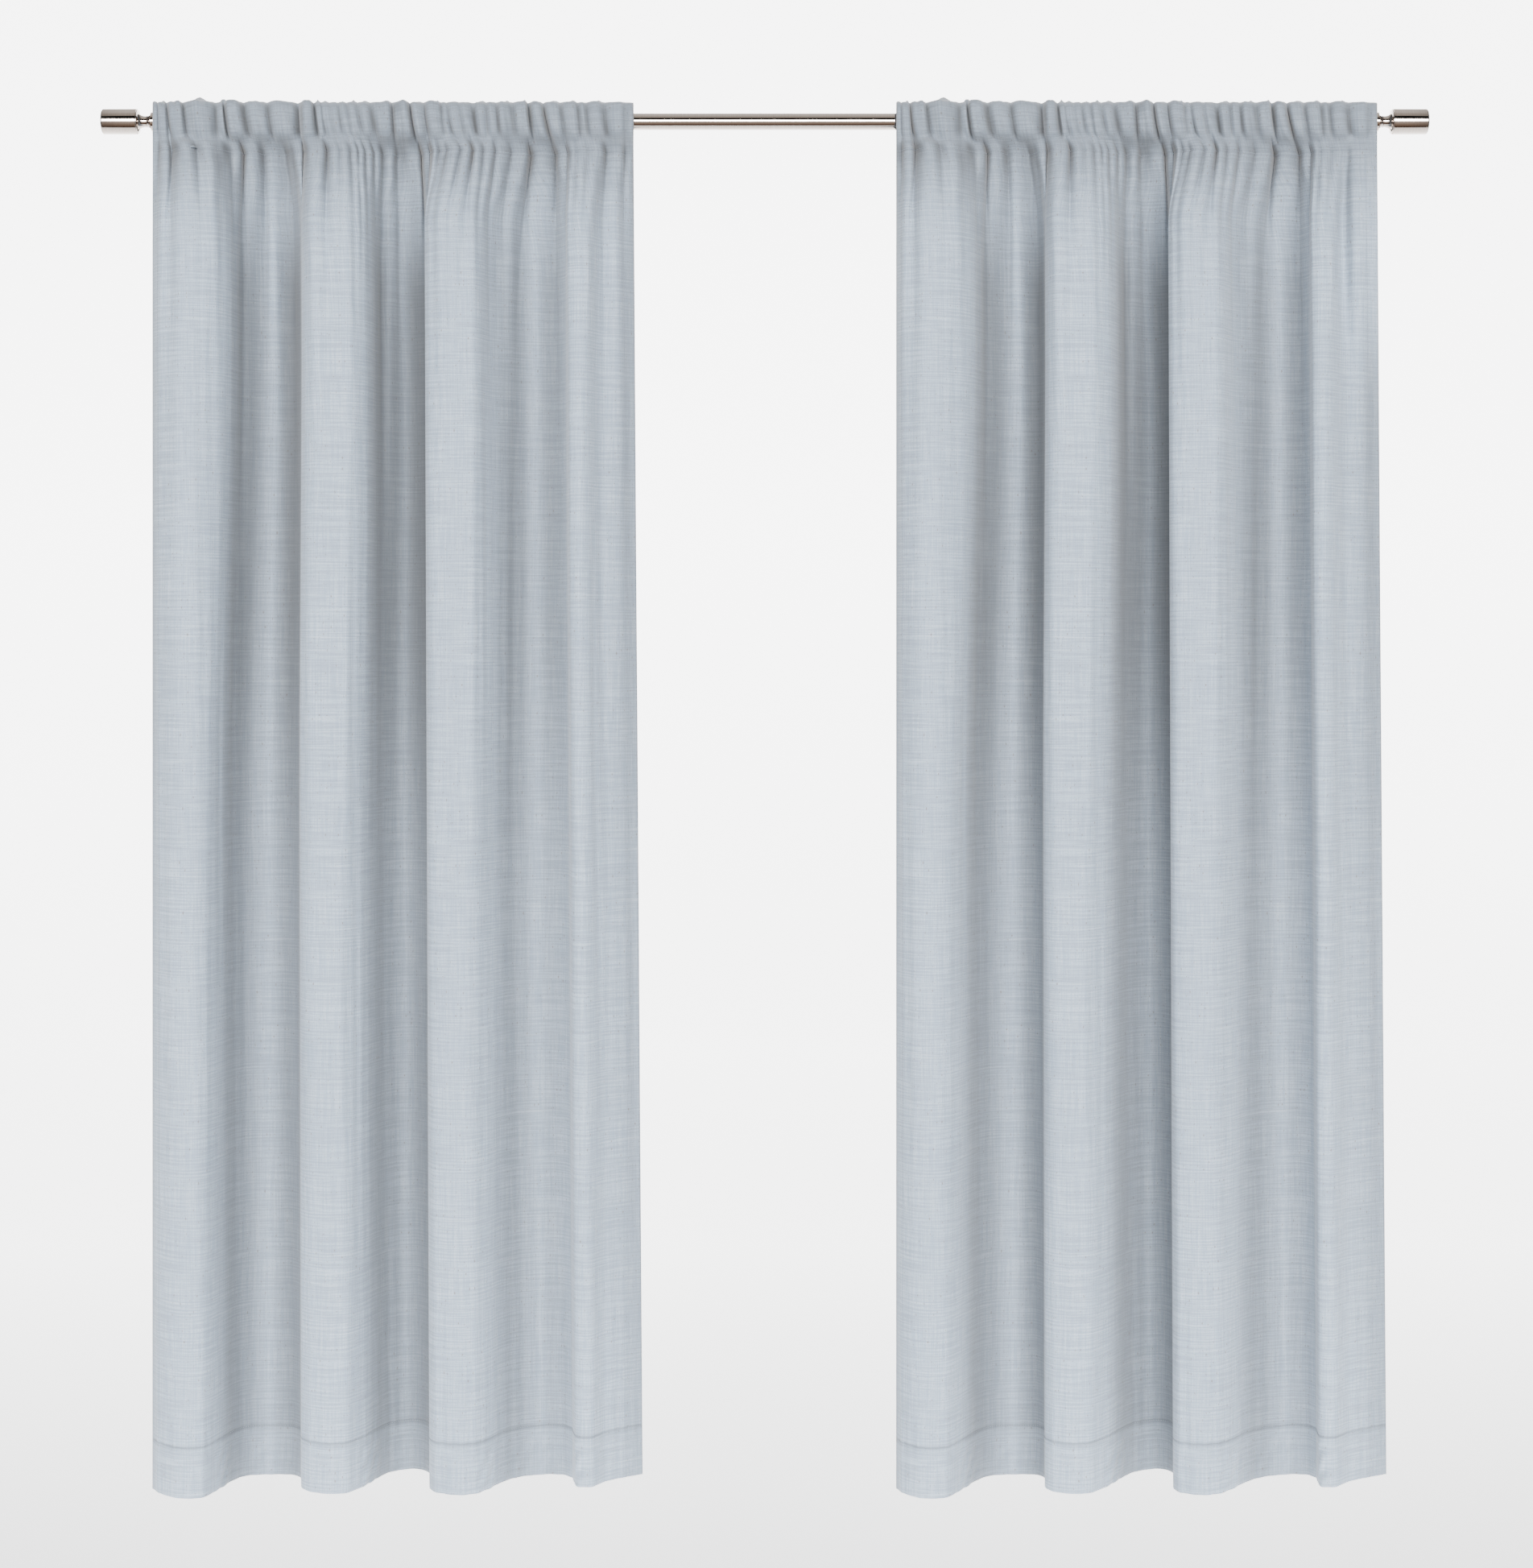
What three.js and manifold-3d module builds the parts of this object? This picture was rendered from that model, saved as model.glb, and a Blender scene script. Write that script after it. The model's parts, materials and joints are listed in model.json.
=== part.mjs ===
// Two rod-pocket curtain panels on a telescoping rod with drum finials and wall brackets.
// Millimetres. +X runs along the rod to the right, +Y points into the wall, +Z is up.
// The origin lies on the wall's face, midway between the brackets and level with the rod's axis.
import * as THREE from 'three';
import { mergeVertices } from 'three/addons/utils/BufferGeometryUtils.js';
import Module from 'manifold-3d';

const wasm = await Module();
wasm.setup();

// ---------- driving dimensions ----------
const wallToRod = 89; // wall face to rod axis
const rodHalf = 938; // middle of the rod to each end of its tubes
const outerTube = { radius: 12.7, wall: 0.6, length: 1219 };
const slideRoom = 1.1; // round the inner tube, for the collar and the glide
const innerTube = { radius: outerTube.radius - outerTube.wall - slideRoom, wall: 0.6, length: 1118 };
const fitGap = 0.3; // between pieces that touch
const mouthCollar = { length: 6, lip: 2.2, rise: 0.8 };
const glide = { shoulder: 8, spigot: 18, bore: 5 };

const drum = { radius: 19.5, length: 55, edge: 2.2, socketDepth: 16 };
const neck = { rimStep: 4, waistRadius: 8.3, collarStep: 1.5, length: 20, collarLength: 9 };
const plug = { studRadius: 5, grip: 26 };

const cradle = { wall: 2.6, width: 12, frontLip: 2, backLip: 7, running: 0.4 };
const bracketInset = 14; // rod end to the middle of its cradle
const armHeight = 10;
const socketBlock = { width: 17, height: 22, depth: 16, wall: 2.6 };
const wallPlate = { width: 38, height: 78, thickness: 3, corner: 6, screwSpacing: 52, tabDepth: 13 };
const wallScrew = { radius: 2.1, length: 32, headRadius: 4.2, headHeight: 2.8 };
const lockScrew = { radius: 1.5, length: 6, headRadius: 2.8, headHeight: 2 };
const clampScrew = { radius: 2, bossRadius: 4.5, bossDepth: 4, headRadius: 4.5, headHeight: 5, stem: 4 };
const recess = { width: 0.9, depth: 1.3 }; // cross slots in the screw heads

const panelDrop = 2134; // top edge to bottom edge
const topWidth = 743; // gathered on the rod
const hemWidth = 757; // at the bottom edge
const panelReach = 8; // the panels' outer edges past the rod's ends, over the finials' collars
const headerRise = outerTube.radius + 15.9; // top edge over the rod axis
const pocketDepth = 76; // top edge to the pocket's seam
const hemDepth = 76;
const sideHem = 27;
const clothThickness = 1.2; // one layer with the air in its weave
const layerPitch = 2.4; // middle to middle of two layers sewn together
const pocketFront = outerTube.radius + 7.3; // pocket's front layer to the rod axis
const pocketBack = outerTube.radius + 4.8;
const foldDepth = 106; // front of a fold to the back of the next, at the hem
const foldGrowth = 560; // length below the seam over which the folds reach full depth
const pocketClear = 10; // the pocket's back layer to the bracket's cradle
const foldJoint = 0.8; // gap between neighbouring lengths of cloth
const stitch = { size: 0.9, gap: 0.6 };
const careLabel = { width: 30, length: 46, thickness: 0.5, gap: 1.2 };

// Fronts (-1) and backs (+1) of the folds, as shares of the panel's width from its left edge.
const foldPlaces = [
  [0, 0.35], [0.07, -1], [0.265, 1], [0.372, -1], [0.524, 1],
  [0.63, -0.95], [0.793, 0.95], [0.885, -0.8], [1, 0.9],
];
const cuts = foldPlaces.map(([share]) => share); // where one length of cloth meets the next
const stepsPerHalfFold = 4;

// ---------- finishes ----------
function finish(color, roughness, metalness) {
  return new THREE.MeshStandardMaterial({ color, roughness, metalness });
}
const satinNickel = finish('#b9aca3', 0.28, 1);
const zincPlate = finish('#b4b3ae', 0.42, 1);
const whitePlastic = finish('#e6e4de', 0.5, 0);
const greyLinen = finish('#b9c0c8', 0.92, 0);
const greyThread = finish('#a7aeb8', 0.8, 0);
const labelSatin = finish('#f1f0ec', 0.6, 0);

const model = new THREE.Group();
const onRod = new THREE.Group();
onRod.position.y = -wallToRod;
model.add(onRod);

function addPiece(group, name, geometry, material) {
  const mesh = new THREE.Mesh(geometry, material);
  mesh.name = name;
  group.add(mesh);
  return mesh;
}

// ---------- shapes ----------
const acrossX = new THREE.Matrix4().makeBasis(
  new THREE.Vector3(0, 1, 0), new THREE.Vector3(0, 0, 1), new THREE.Vector3(1, 0, 0));
const towardsRoom = new THREE.Matrix4().makeBasis(
  new THREE.Vector3(1, 0, 0), new THREE.Vector3(0, 0, 1), new THREE.Vector3(0, -1, 0));

// A closed shell with shared vertices, no empty triangles and its faces outwards.
function closedShell(geometry) {
  const bare = geometry.clone();
  for (const name of Object.keys(bare.attributes)) if (name !== 'position') bare.deleteAttribute(name);
  const merged = mergeVertices(bare, 1e-4);
  const corner = merged.index.array;
  const place = merged.attributes.position;
  const kept = [];
  let volume = 0;
  const [a, b, c] = [new THREE.Vector3(), new THREE.Vector3(), new THREE.Vector3()];
  for (let i = 0; i < corner.length; i += 3) {
    const [p, q, r] = [corner[i], corner[i + 1], corner[i + 2]];
    if (p === q || q === r || r === p) continue;
    kept.push([p, q, r]);
    a.fromBufferAttribute(place, p);
    b.fromBufferAttribute(place, q);
    c.fromBufferAttribute(place, r);
    volume += a.dot(b.cross(c));
  }
  merged.setIndex(kept.flatMap(([p, q, r]) => (volume < 0 ? [p, r, q] : [p, q, r])));
  return merged;
}

function toSolid(geometry) {
  const shell = closedShell(geometry);
  return new wasm.Manifold(new wasm.Mesh({
    numProp: 3,
    vertProperties: new Float32Array(shell.attributes.position.array),
    triVerts: new Uint32Array(shell.index.array),
  }));
}

function fromSolid(solid) {
  const mesh = solid.getMesh();
  const geometry = new THREE.BufferGeometry();
  geometry.setAttribute('position', new THREE.BufferAttribute(new Float32Array(mesh.vertProperties), 3));
  geometry.setIndex([...mesh.triVerts]);
  geometry.computeVertexNormals();
  return geometry;
}

// Turned about the rod's axis from a closed profile of [distance along X, radius].
function turned(profile, sides = 28) {
  const points = profile.map(([x, r]) => new THREE.Vector2(r, x));
  return closedShell(new THREE.LatheGeometry(points, sides).rotateZ(-Math.PI / 2));
}

const tubeProfile = (from, to, outside, inside) =>
  [[from, inside], [to, inside], [to, outside], [from, outside], [from, inside]];

function block(width, depth, height, x, y, z) {
  return new THREE.BoxGeometry(width, depth, height).translate(x, y, z);
}

const uprightCylinder = (radius, height, x, y, z, sides = 24) =>
  new THREE.CylinderGeometry(radius, radius, height, sides).rotateX(Math.PI / 2).translate(x, y, z);

// ---------- the rod ----------
const innerBore = outerTube.radius - outerTube.wall;
const outerMouth = -rodHalf + outerTube.length;
const innerStart = rodHalf - innerTube.length;
const innerTubeBore = innerTube.radius - innerTube.wall;
addPiece(onRod, 'rod_outer_tube',
  turned(tubeProfile(-rodHalf, outerMouth, outerTube.radius, innerBore)), satinNickel);
addPiece(onRod, 'rod_inner_tube',
  turned(tubeProfile(innerStart, rodHalf, innerTube.radius, innerTubeBore)), satinNickel);

// A collar with a lip outside the outer tube's mouth and a thin bush inside it.
const bushInside = innerTube.radius + fitGap;
addPiece(onRod, 'rod_mouth_collar', turned([
  [outerMouth - mouthCollar.length, bushInside],
  [outerMouth + mouthCollar.lip, bushInside],
  [outerMouth + mouthCollar.lip, outerTube.radius + mouthCollar.rise],
  [outerMouth + fitGap, outerTube.radius + mouthCollar.rise],
  [outerMouth + fitGap, innerBore - fitGap],
  [outerMouth - mouthCollar.length, innerBore - fitGap],
  [outerMouth - mouthCollar.length, bushInside],
]), whitePlastic);

// A shouldered plug in the inner tube's hidden end that keeps it centred in the outer tube.
addPiece(onRod, 'rod_inner_glide', turned([
  [innerStart - glide.shoulder, glide.bore],
  [innerStart + glide.spigot, glide.bore],
  [innerStart + glide.spigot, innerTubeBore - fitGap],
  [innerStart - fitGap, innerTubeBore - fitGap],
  [innerStart - fitGap, innerBore - fitGap],
  [innerStart - glide.shoulder, innerBore - fitGap],
  [innerStart - glide.shoulder, glide.bore],
]), whitePlastic);

// ---------- finials ----------
// side is -1 at the left end and +1 at the right; tube is the one whose end the plug grips.
function makeFinial(prefix, side, tube) {
  const neckStart = rodHalf + fitGap;
  const flareEnd = neckStart + neck.collarLength;
  const neckEnd = flareEnd + neck.length;
  const drumStart = neckEnd + fitGap;
  const bore = plug.studRadius + fitGap;
  const waist = flareEnd + neck.length * 0.42;
  // Two quarter-round coves: from the collar in to the waist, and out again to the drum's rim.
  const collarRadius = outerTube.radius + neck.collarStep;
  const flare = collarRadius - neck.waistRadius;
  const rise = drum.radius - neck.rimStep - neck.waistRadius;
  const outline = [[neckStart, bore], [neckStart, collarRadius]];
  for (let i = 0; i <= 4; i++) {
    const turn = (i / 4) * (Math.PI / 2);
    outline.push([waist - (waist - flareEnd) * Math.cos(turn), collarRadius - flare * Math.sin(turn)]);
  }
  for (let i = 1; i <= 5; i++) {
    const turn = (i / 5) * (Math.PI / 2);
    outline.push([
      waist + (neckEnd - waist) * Math.sin(turn),
      neck.waistRadius + rise * (1 - Math.cos(turn)),
    ]);
  }
  outline.push([neckEnd, bore], [neckStart, bore]);

  const drumEnd = drumStart + drum.length;
  const socketEnd = drumStart + drum.socketDepth;
  const drumOutline = [
    [socketEnd, 0], [socketEnd, bore], [drumStart, bore],
    [drumStart, drum.radius - drum.edge / 4], [drumStart + drum.edge / 4, drum.radius],
    [drumEnd - drum.edge, drum.radius], [drumEnd - drum.edge * 0.3, drum.radius - drum.edge * 0.3],
    [drumEnd, drum.radius - drum.edge], [drumEnd, 0],
  ];
  const grip = tube.radius - tube.wall - fitGap;
  const studEnd = socketEnd - fitGap;
  const plugOutline = [
    [rodHalf - plug.grip, 0], [rodHalf - plug.grip, grip - 1.5], [rodHalf - plug.grip + 4, grip],
    [rodHalf, grip], [rodHalf, plug.studRadius], [studEnd, plug.studRadius], [studEnd, 0],
  ];
  const mirrored = (profile) => profile.map(([x, r]) => [side * x, r]);
  addPiece(onRod, `${prefix}_finial_neck`, turned(mirrored(outline)), satinNickel);
  addPiece(onRod, `${prefix}_finial_drum`, turned(mirrored(drumOutline)), satinNickel);
  addPiece(onRod, `${prefix}_finial_plug`, turned(mirrored(plugOutline), 24), whitePlastic);
}

makeFinial('left', -1, outerTube);
makeFinial('right', 1, innerTube);

// ---------- wall brackets ----------
// A pan head with a cross recess on a plain shank; local +Z points out of the head.
function panScrew(screw, sides = 16) {
  const profile = [
    [-screw.length, 0], [-screw.length + screw.radius, screw.radius], [0, screw.radius],
    [0, screw.headRadius], [screw.headHeight * 0.55, screw.headRadius],
    [screw.headHeight, screw.headRadius * 0.6], [screw.headHeight, 0],
  ];
  const body = closedShell(new THREE.LatheGeometry(profile.map(([z, r]) => new THREE.Vector2(r, z)), sides)
    .rotateX(Math.PI / 2));
  const reach = screw.headRadius * 1.1;
  const slotZ = screw.headHeight - recess.depth / 2 + 0.5;
  const along = toSolid(block(reach, recess.width, recess.depth + 1, 0, 0, slotZ));
  const across = toSolid(block(recess.width, reach, recess.depth + 1, 0, 0, slotZ));
  return fromSolid(toSolid(body).subtract(along.add(across)));
}

function roundedPlate(width, height, corner) {
  const [w, h] = [width / 2, height / 2];
  const shape = new THREE.Shape();
  shape.moveTo(-w + corner, -h);
  shape.lineTo(w - corner, -h).absarc(w - corner, -h + corner, corner, -Math.PI / 2, 0);
  shape.lineTo(w, h - corner).absarc(w - corner, h - corner, corner, 0, Math.PI / 2);
  shape.lineTo(-w + corner, h).absarc(-w + corner, h - corner, corner, Math.PI / 2, Math.PI);
  shape.lineTo(-w, -h + corner).absarc(-w + corner, -h + corner, corner, Math.PI, 1.5 * Math.PI);
  return shape;
}

function makeBracket(prefix, side, tube) {
  const bracket = new THREE.Group();
  bracket.position.x = side * (rodHalf - bracketInset);
  model.add(bracket);
  const seat = tube.radius + cradle.running;
  const outside = seat + cradle.wall;
  const armZ = -seat + armHeight / 2 - 1;

  // Wall plate with its two screw holes and the tab that the arm slips over.
  const outline = roundedPlate(wallPlate.width, wallPlate.height, wallPlate.corner);
  for (const end of [-1, 1]) {
    const hole = new THREE.Path().absarc(0, end * wallPlate.screwSpacing / 2, wallScrew.radius + fitGap, 0,
      2 * Math.PI, true);
    outline.holes.push(hole);
  }
  const plate = new THREE.ExtrudeGeometry(outline,
    { depth: wallPlate.thickness, bevelEnabled: false, curveSegments: 6 }).applyMatrix4(towardsRoom);
  const tabWidth = socketBlock.width - 2 * socketBlock.wall - 2 * fitGap;
  const tabHeight = socketBlock.height - 2 * socketBlock.wall - 2 * fitGap;
  const lockY = -wallPlate.thickness - socketBlock.depth / 2;
  const tab = toSolid(block(tabWidth, wallPlate.tabDepth + 1, tabHeight,
    0, -wallPlate.thickness - wallPlate.tabDepth / 2 + 0.5, 0));
  const lockHole = toSolid(uprightCylinder(lockScrew.radius + fitGap, socketBlock.height, 0, lockY,
    -socketBlock.height / 2));
  const plateMesh = addPiece(bracket, `${prefix}_wall_plate`,
    fromSolid(toSolid(plate).add(tab).subtract(lockHole)), zincPlate);
  plateMesh.position.z = armZ;

  // Arm: an open-topped cradle, a flat bar, and the hollow block over the plate's tab.
  const profile = new THREE.Shape();
  const wallSide = wallToRod - wallPlate.thickness - fitGap;
  profile.moveTo(-outside, cradle.frontLip);
  profile.lineTo(-outside, 0).absarc(0, 0, outside, Math.PI, 1.5 * Math.PI);
  profile.lineTo(wallSide, -outside);
  profile.lineTo(wallSide, armZ + armHeight / 2);
  profile.lineTo(outside, armZ + armHeight / 2);
  profile.lineTo(outside, cradle.backLip);
  profile.lineTo(seat, cradle.backLip);
  profile.lineTo(seat, 0).absarc(0, 0, seat, 2 * Math.PI, Math.PI, true);
  profile.lineTo(-seat, cradle.frontLip);
  const bar = new THREE.ExtrudeGeometry(profile,
    { depth: cradle.width, bevelEnabled: false, curveSegments: 12 })
    .applyMatrix4(acrossX).translate(-cradle.width / 2, -wallToRod, 0);
  const blockY = -wallPlate.thickness - fitGap - socketBlock.depth / 2;
  const shell = toSolid(block(socketBlock.width, socketBlock.depth, socketBlock.height, 0, blockY, armZ));
  const hollowDepth = wallPlate.tabDepth + 2 * fitGap;
  const hollow = toSolid(block(tabWidth + 2 * fitGap, hollowDepth + 2, tabHeight + 2 * fitGap,
    0, -wallPlate.thickness - hollowDepth / 2 + 1, armZ));
  const boss = toSolid(uprightCylinder(clampScrew.bossRadius, clampScrew.bossDepth + 1, 0, -wallToRod,
    -outside - clampScrew.bossDepth / 2 + 0.5));
  const clampHole = toSolid(uprightCylinder(clampScrew.radius + fitGap, 4 * clampScrew.bossDepth,
    0, -wallToRod, -outside - clampScrew.bossDepth));
  const armLockHole = lockHole.translate(0, 0, armZ);
  addPiece(bracket, `${prefix}_bracket_arm`,
    fromSolid(toSolid(bar).add(shell).add(boss).subtract(hollow).subtract(clampHole).subtract(armLockHole)),
    zincPlate);

  // Two wall screws, the screw that locks the arm on the plate, and the rod's clamp screw.
  const places = { upper: 1, lower: -1 };
  for (const [where, end] of Object.entries(places)) {
    const screw = addPiece(bracket, `${prefix}_${where}_wall_screw`, panScrew(wallScrew), zincPlate);
    screw.rotation.x = Math.PI / 2;
    screw.position.set(0, -wallPlate.thickness - fitGap, armZ + end * wallPlate.screwSpacing / 2);
  }
  const lock = addPiece(bracket, `${prefix}_arm_lock_screw`, panScrew(lockScrew, 12), zincPlate);
  lock.rotation.x = Math.PI;
  lock.position.set(0, lockY, armZ - socketBlock.height / 2 - fitGap);

  const headTop = -outside - clampScrew.bossDepth - clampScrew.stem;
  const clamp = new THREE.LatheGeometry([
    [headTop - clampScrew.headHeight, 0], [headTop - clampScrew.headHeight, clampScrew.headRadius * 0.85],
    [headTop - clampScrew.headHeight * 0.8, clampScrew.headRadius], [headTop, clampScrew.headRadius],
    [headTop, clampScrew.radius], [-seat - 0.3, clampScrew.radius], [-seat + cradle.running - fitGap, 0.8],
    [-seat + cradle.running - fitGap, 0],
  ].map(([z, r]) => new THREE.Vector2(r, z)), 20).rotateX(Math.PI / 2);
  const clampMesh = addPiece(bracket, `${prefix}_rod_clamp_screw`, closedShell(clamp), zincPlate);
  clampMesh.position.y = -wallToRod;
}

makeBracket('left', -1, outerTube);
makeBracket('right', 1, innerTube);

// ---------- curtain panels ----------
const topEdge = headerRise - clothThickness / 2;
const pocketSeam = headerRise - pocketDepth;
const bottomEdge = headerRise - panelDrop + clothThickness / 2;
const hemSeam = bottomEdge + hemDepth;

// Smooth wave through foldPlaces: each stretch is half a cosine.
function foldWave(share) {
  const last = foldPlaces.length - 1;
  let i = 0;
  while (i < last - 1 && share > foldPlaces[i + 1][0]) i++;
  const [[fromShare, from], [toShare, to]] = [foldPlaces[i], foldPlaces[i + 1]];
  const part = (share - fromShare) / (toShare - fromShare);
  return from + (to - from) * (1 - Math.cos(Math.PI * part)) / 2;
}

// Below the pocket's seam the folds deepen and the panel widens a little towards the hem.
function clothPoint(panelLeft, share, y, z) {
  const down = THREE.MathUtils.clamp((pocketSeam - z) / (pocketSeam - bottomEdge), 0, 1);
  const grown = THREE.MathUtils.clamp((pocketSeam - z) / foldGrowth, 0, 1);
  const width = topWidth + (hemWidth - topWidth) * down;
  const amplitude = (foldDepth / 2) * (1 - (1 - grown) ** 2);
  return new THREE.Vector3(panelLeft + share * width, y + amplitude * foldWave(share), z);
}

// The line of [y, z] moved sideways by offset, with its corners mitred.
function besideLine(line, offset) {
  const at = line.map(([y, z]) => new THREE.Vector2(y, z));
  return at.map((point, i) => {
    const before = i > 0 ? point.clone().sub(at[i - 1]).normalize() : null;
    const after = i < at.length - 1 ? at[i + 1].clone().sub(point).normalize() : null;
    const along = new THREE.Vector2().add(before ?? after).add(after ?? before).normalize();
    const normal = new THREE.Vector2(-along.y, along.x);
    const spread = Math.sqrt(1 - normal.dot(before ?? after) ** 2);
    return point.clone().addScaledVector(normal, offset / spread);
  });
}

// A sheet of one thickness that follows a line of [y, z] and runs across the panel's shares.
// Its two faces are split along the same diagonals, so they stay one thickness apart.
// inset(row, share) is how far a row is pulled along X there.
function bentSheet(panelLeft, line, thickness, shares, inset = () => 0) {
  const [columns, rows] = [shares.length, line.length];
  const places = [];
  for (const side of [-1, 1]) {
    besideLine(line, side * thickness / 2).forEach(({ x: y, y: z }, row) => {
      for (const share of shares) {
        const moved = clothPoint(panelLeft, share, y, z);
        places.push(moved.x + inset(row, share), moved.y, moved.z);
      }
    });
  }
  const corners = [];
  const addQuad = (a, b, c, d) => corners.push(a, b, c, a, c, d);
  const front = (row, column) => row * columns + column;
  const back = (row, column) => (rows + row) * columns + column;
  for (let row = 0; row < rows - 1; row++) {
    for (let column = 0; column < columns - 1; column++) {
      addQuad(front(row, column), front(row, column + 1), front(row + 1, column + 1), front(row + 1, column));
      addQuad(back(row, column), back(row + 1, column), back(row + 1, column + 1), back(row, column + 1));
    }
    const last = columns - 1;
    addQuad(front(row, 0), front(row + 1, 0), back(row + 1, 0), back(row, 0));
    addQuad(front(row, last), back(row, last), back(row + 1, last), front(row + 1, last));
  }
  for (let column = 0; column < columns - 1; column++) {
    const last = rows - 1;
    addQuad(front(0, column), back(0, column), back(0, column + 1), front(0, column + 1));
    addQuad(front(last, column), front(last, column + 1), back(last, column + 1), back(last, column));
  }
  const geometry = new THREE.BufferGeometry();
  geometry.setAttribute('position', new THREE.BufferAttribute(new Float32Array(places), 3));
  geometry.setIndex(corners);
  return closedShell(geometry);
}

// The cloth from its turned-up hem, up the front, over the rod and down to the pocket's seam.
const rowHeights = [-1300, pocketSeam - foldGrowth, -430, -270, -150];
const halfPitch = layerPitch / 2;
const clothLine = [
  [layerPitch, hemSeam], [layerPitch, bottomEdge], [0, bottomEdge], [0, hemSeam],
  ...rowHeights.map((z) => [0, z]), [0, pocketSeam],
  [-pocketFront + 5, -16], [-pocketFront, 2], [-pocketFront + 7, topEdge],
  [pocketBack - 6, topEdge], [pocketBack, 2], [pocketBack - 3, -16],
  [layerPitch, pocketSeam + halfPitch],
].map(([y, z]) => [y - halfPitch, z]);
const backRows = 4; // rows of the line behind the rod

const sideStitchShares = [sideHem / topWidth, (sideHem + stitch.size) / topWidth];
const stitchColumns = [...sideStitchShares, ...sideStitchShares.map((share) => 1 - share)];

// Evenly spaced shares from one cut to the next, with the side hems' stitch lines among them.
function foldColumns(index) {
  const from = cuts[index] + (index > 0 ? foldJoint / 2 / topWidth : 0);
  const to = cuts[index + 1] - (index < cuts.length - 2 ? foldJoint / 2 / topWidth : 0);
  const even = Array.from({ length: stepsPerHalfFold + 1 },
    (_, i) => from + (to - from) * i / stepsPerHalfFold);
  const extra = stitchColumns.filter((share) => share > from && share < to);
  return [...even, ...extra].sort((a, b) => a - b);
}
const allColumns = cuts.slice(0, -1).flatMap((_, index) => foldColumns(index));

// A square bead of thread on the front of the cloth, through the given heights.
function threadBead(panelLeft, heights, shares) {
  const front = -halfPitch - clothThickness / 2 - stitch.gap - stitch.size / 2;
  return bentSheet(panelLeft, heights.map((z) => [front, z]), stitch.size, shares);
}

function makePanel(prefix, panelLeft, outerEdge) {
  const outermost = outerEdge < 0.5 ? 0 : cuts.length - 2;
  // The back of the pocket is pushed in from the outer edge, so that the bracket can reach the rod.
  const openPocketEnd = panelReach + bracketInset + cradle.width / 2 + pocketClear;
  const firstBackRow = clothLine.length - backRows;
  const outerWidth = cuts[outermost + 1] - cuts[outermost];
  const pushedIn = (row, share) => {
    if (row < firstBackRow) return 0;
    const fromEdge = Math.abs(share - outerEdge) / outerWidth;
    const ease = row === clothLine.length - 1 ? 0.5 : 1;
    return (outerEdge < 0.5 ? 1 : -1) * openPocketEnd * ease * Math.max(0, 1 - fromEdge);
  };
  for (let index = 0; index < cuts.length - 1; index++) {
    const cloth = bentSheet(panelLeft, clothLine, clothThickness, foldColumns(index),
      index === outermost ? pushedIn : undefined);
    const half = index % 2 === 0 ? 'a' : 'b';
    addPiece(onRod, `${prefix}_panel_fold_${Math.floor(index / 2) + 1}${half}`, cloth, greyLinen);
  }

  const across = (z) => threadBead(panelLeft, [z - stitch.size / 2, z + stitch.size / 2], allColumns);
  addPiece(onRod, `${prefix}_pocket_stitching`, across(pocketSeam - stitch.size), greyThread);
  addPiece(onRod, `${prefix}_hem_stitching`, across(hemSeam), greyThread);
  const upright = [hemSeam + 2 * stitch.size, ...rowHeights, pocketSeam - 3 * stitch.size];
  const sides = outerEdge < 0.5 ? ['outer', 'inner'] : ['inner', 'outer'];
  sides.forEach((where, i) => {
    const shares = stitchColumns.slice(2 * i, 2 * i + 2).sort((a, b) => a - b);
    addPiece(onRod, `${prefix}_${where}_side_stitching`, threadBead(panelLeft, upright, shares), greyThread);
  });

  // The care label hangs behind the hem, near the panel's outer edge.
  const labelShare = outerEdge < 0.5 ? 0.045 : 0.955;
  const halfLabel = careLabel.width / 2 / hemWidth;
  const behind = [-1, 0, 1].map((end) => clothPoint(panelLeft, labelShare + end * halfLabel, 0, hemSeam));
  const labelY = Math.max(...behind.map((point) => point.y)) + layerPitch + careLabel.gap;
  addPiece(onRod, `${prefix}_care_label`,
    block(careLabel.width, careLabel.thickness, careLabel.length,
      behind[1].x, labelY, hemSeam - careLabel.length / 4), labelSatin);
}

makePanel('left', -rodHalf - panelReach, 0);
makePanel('right', rodHalf + panelReach - topWidth, 1);

export default model;
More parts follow.
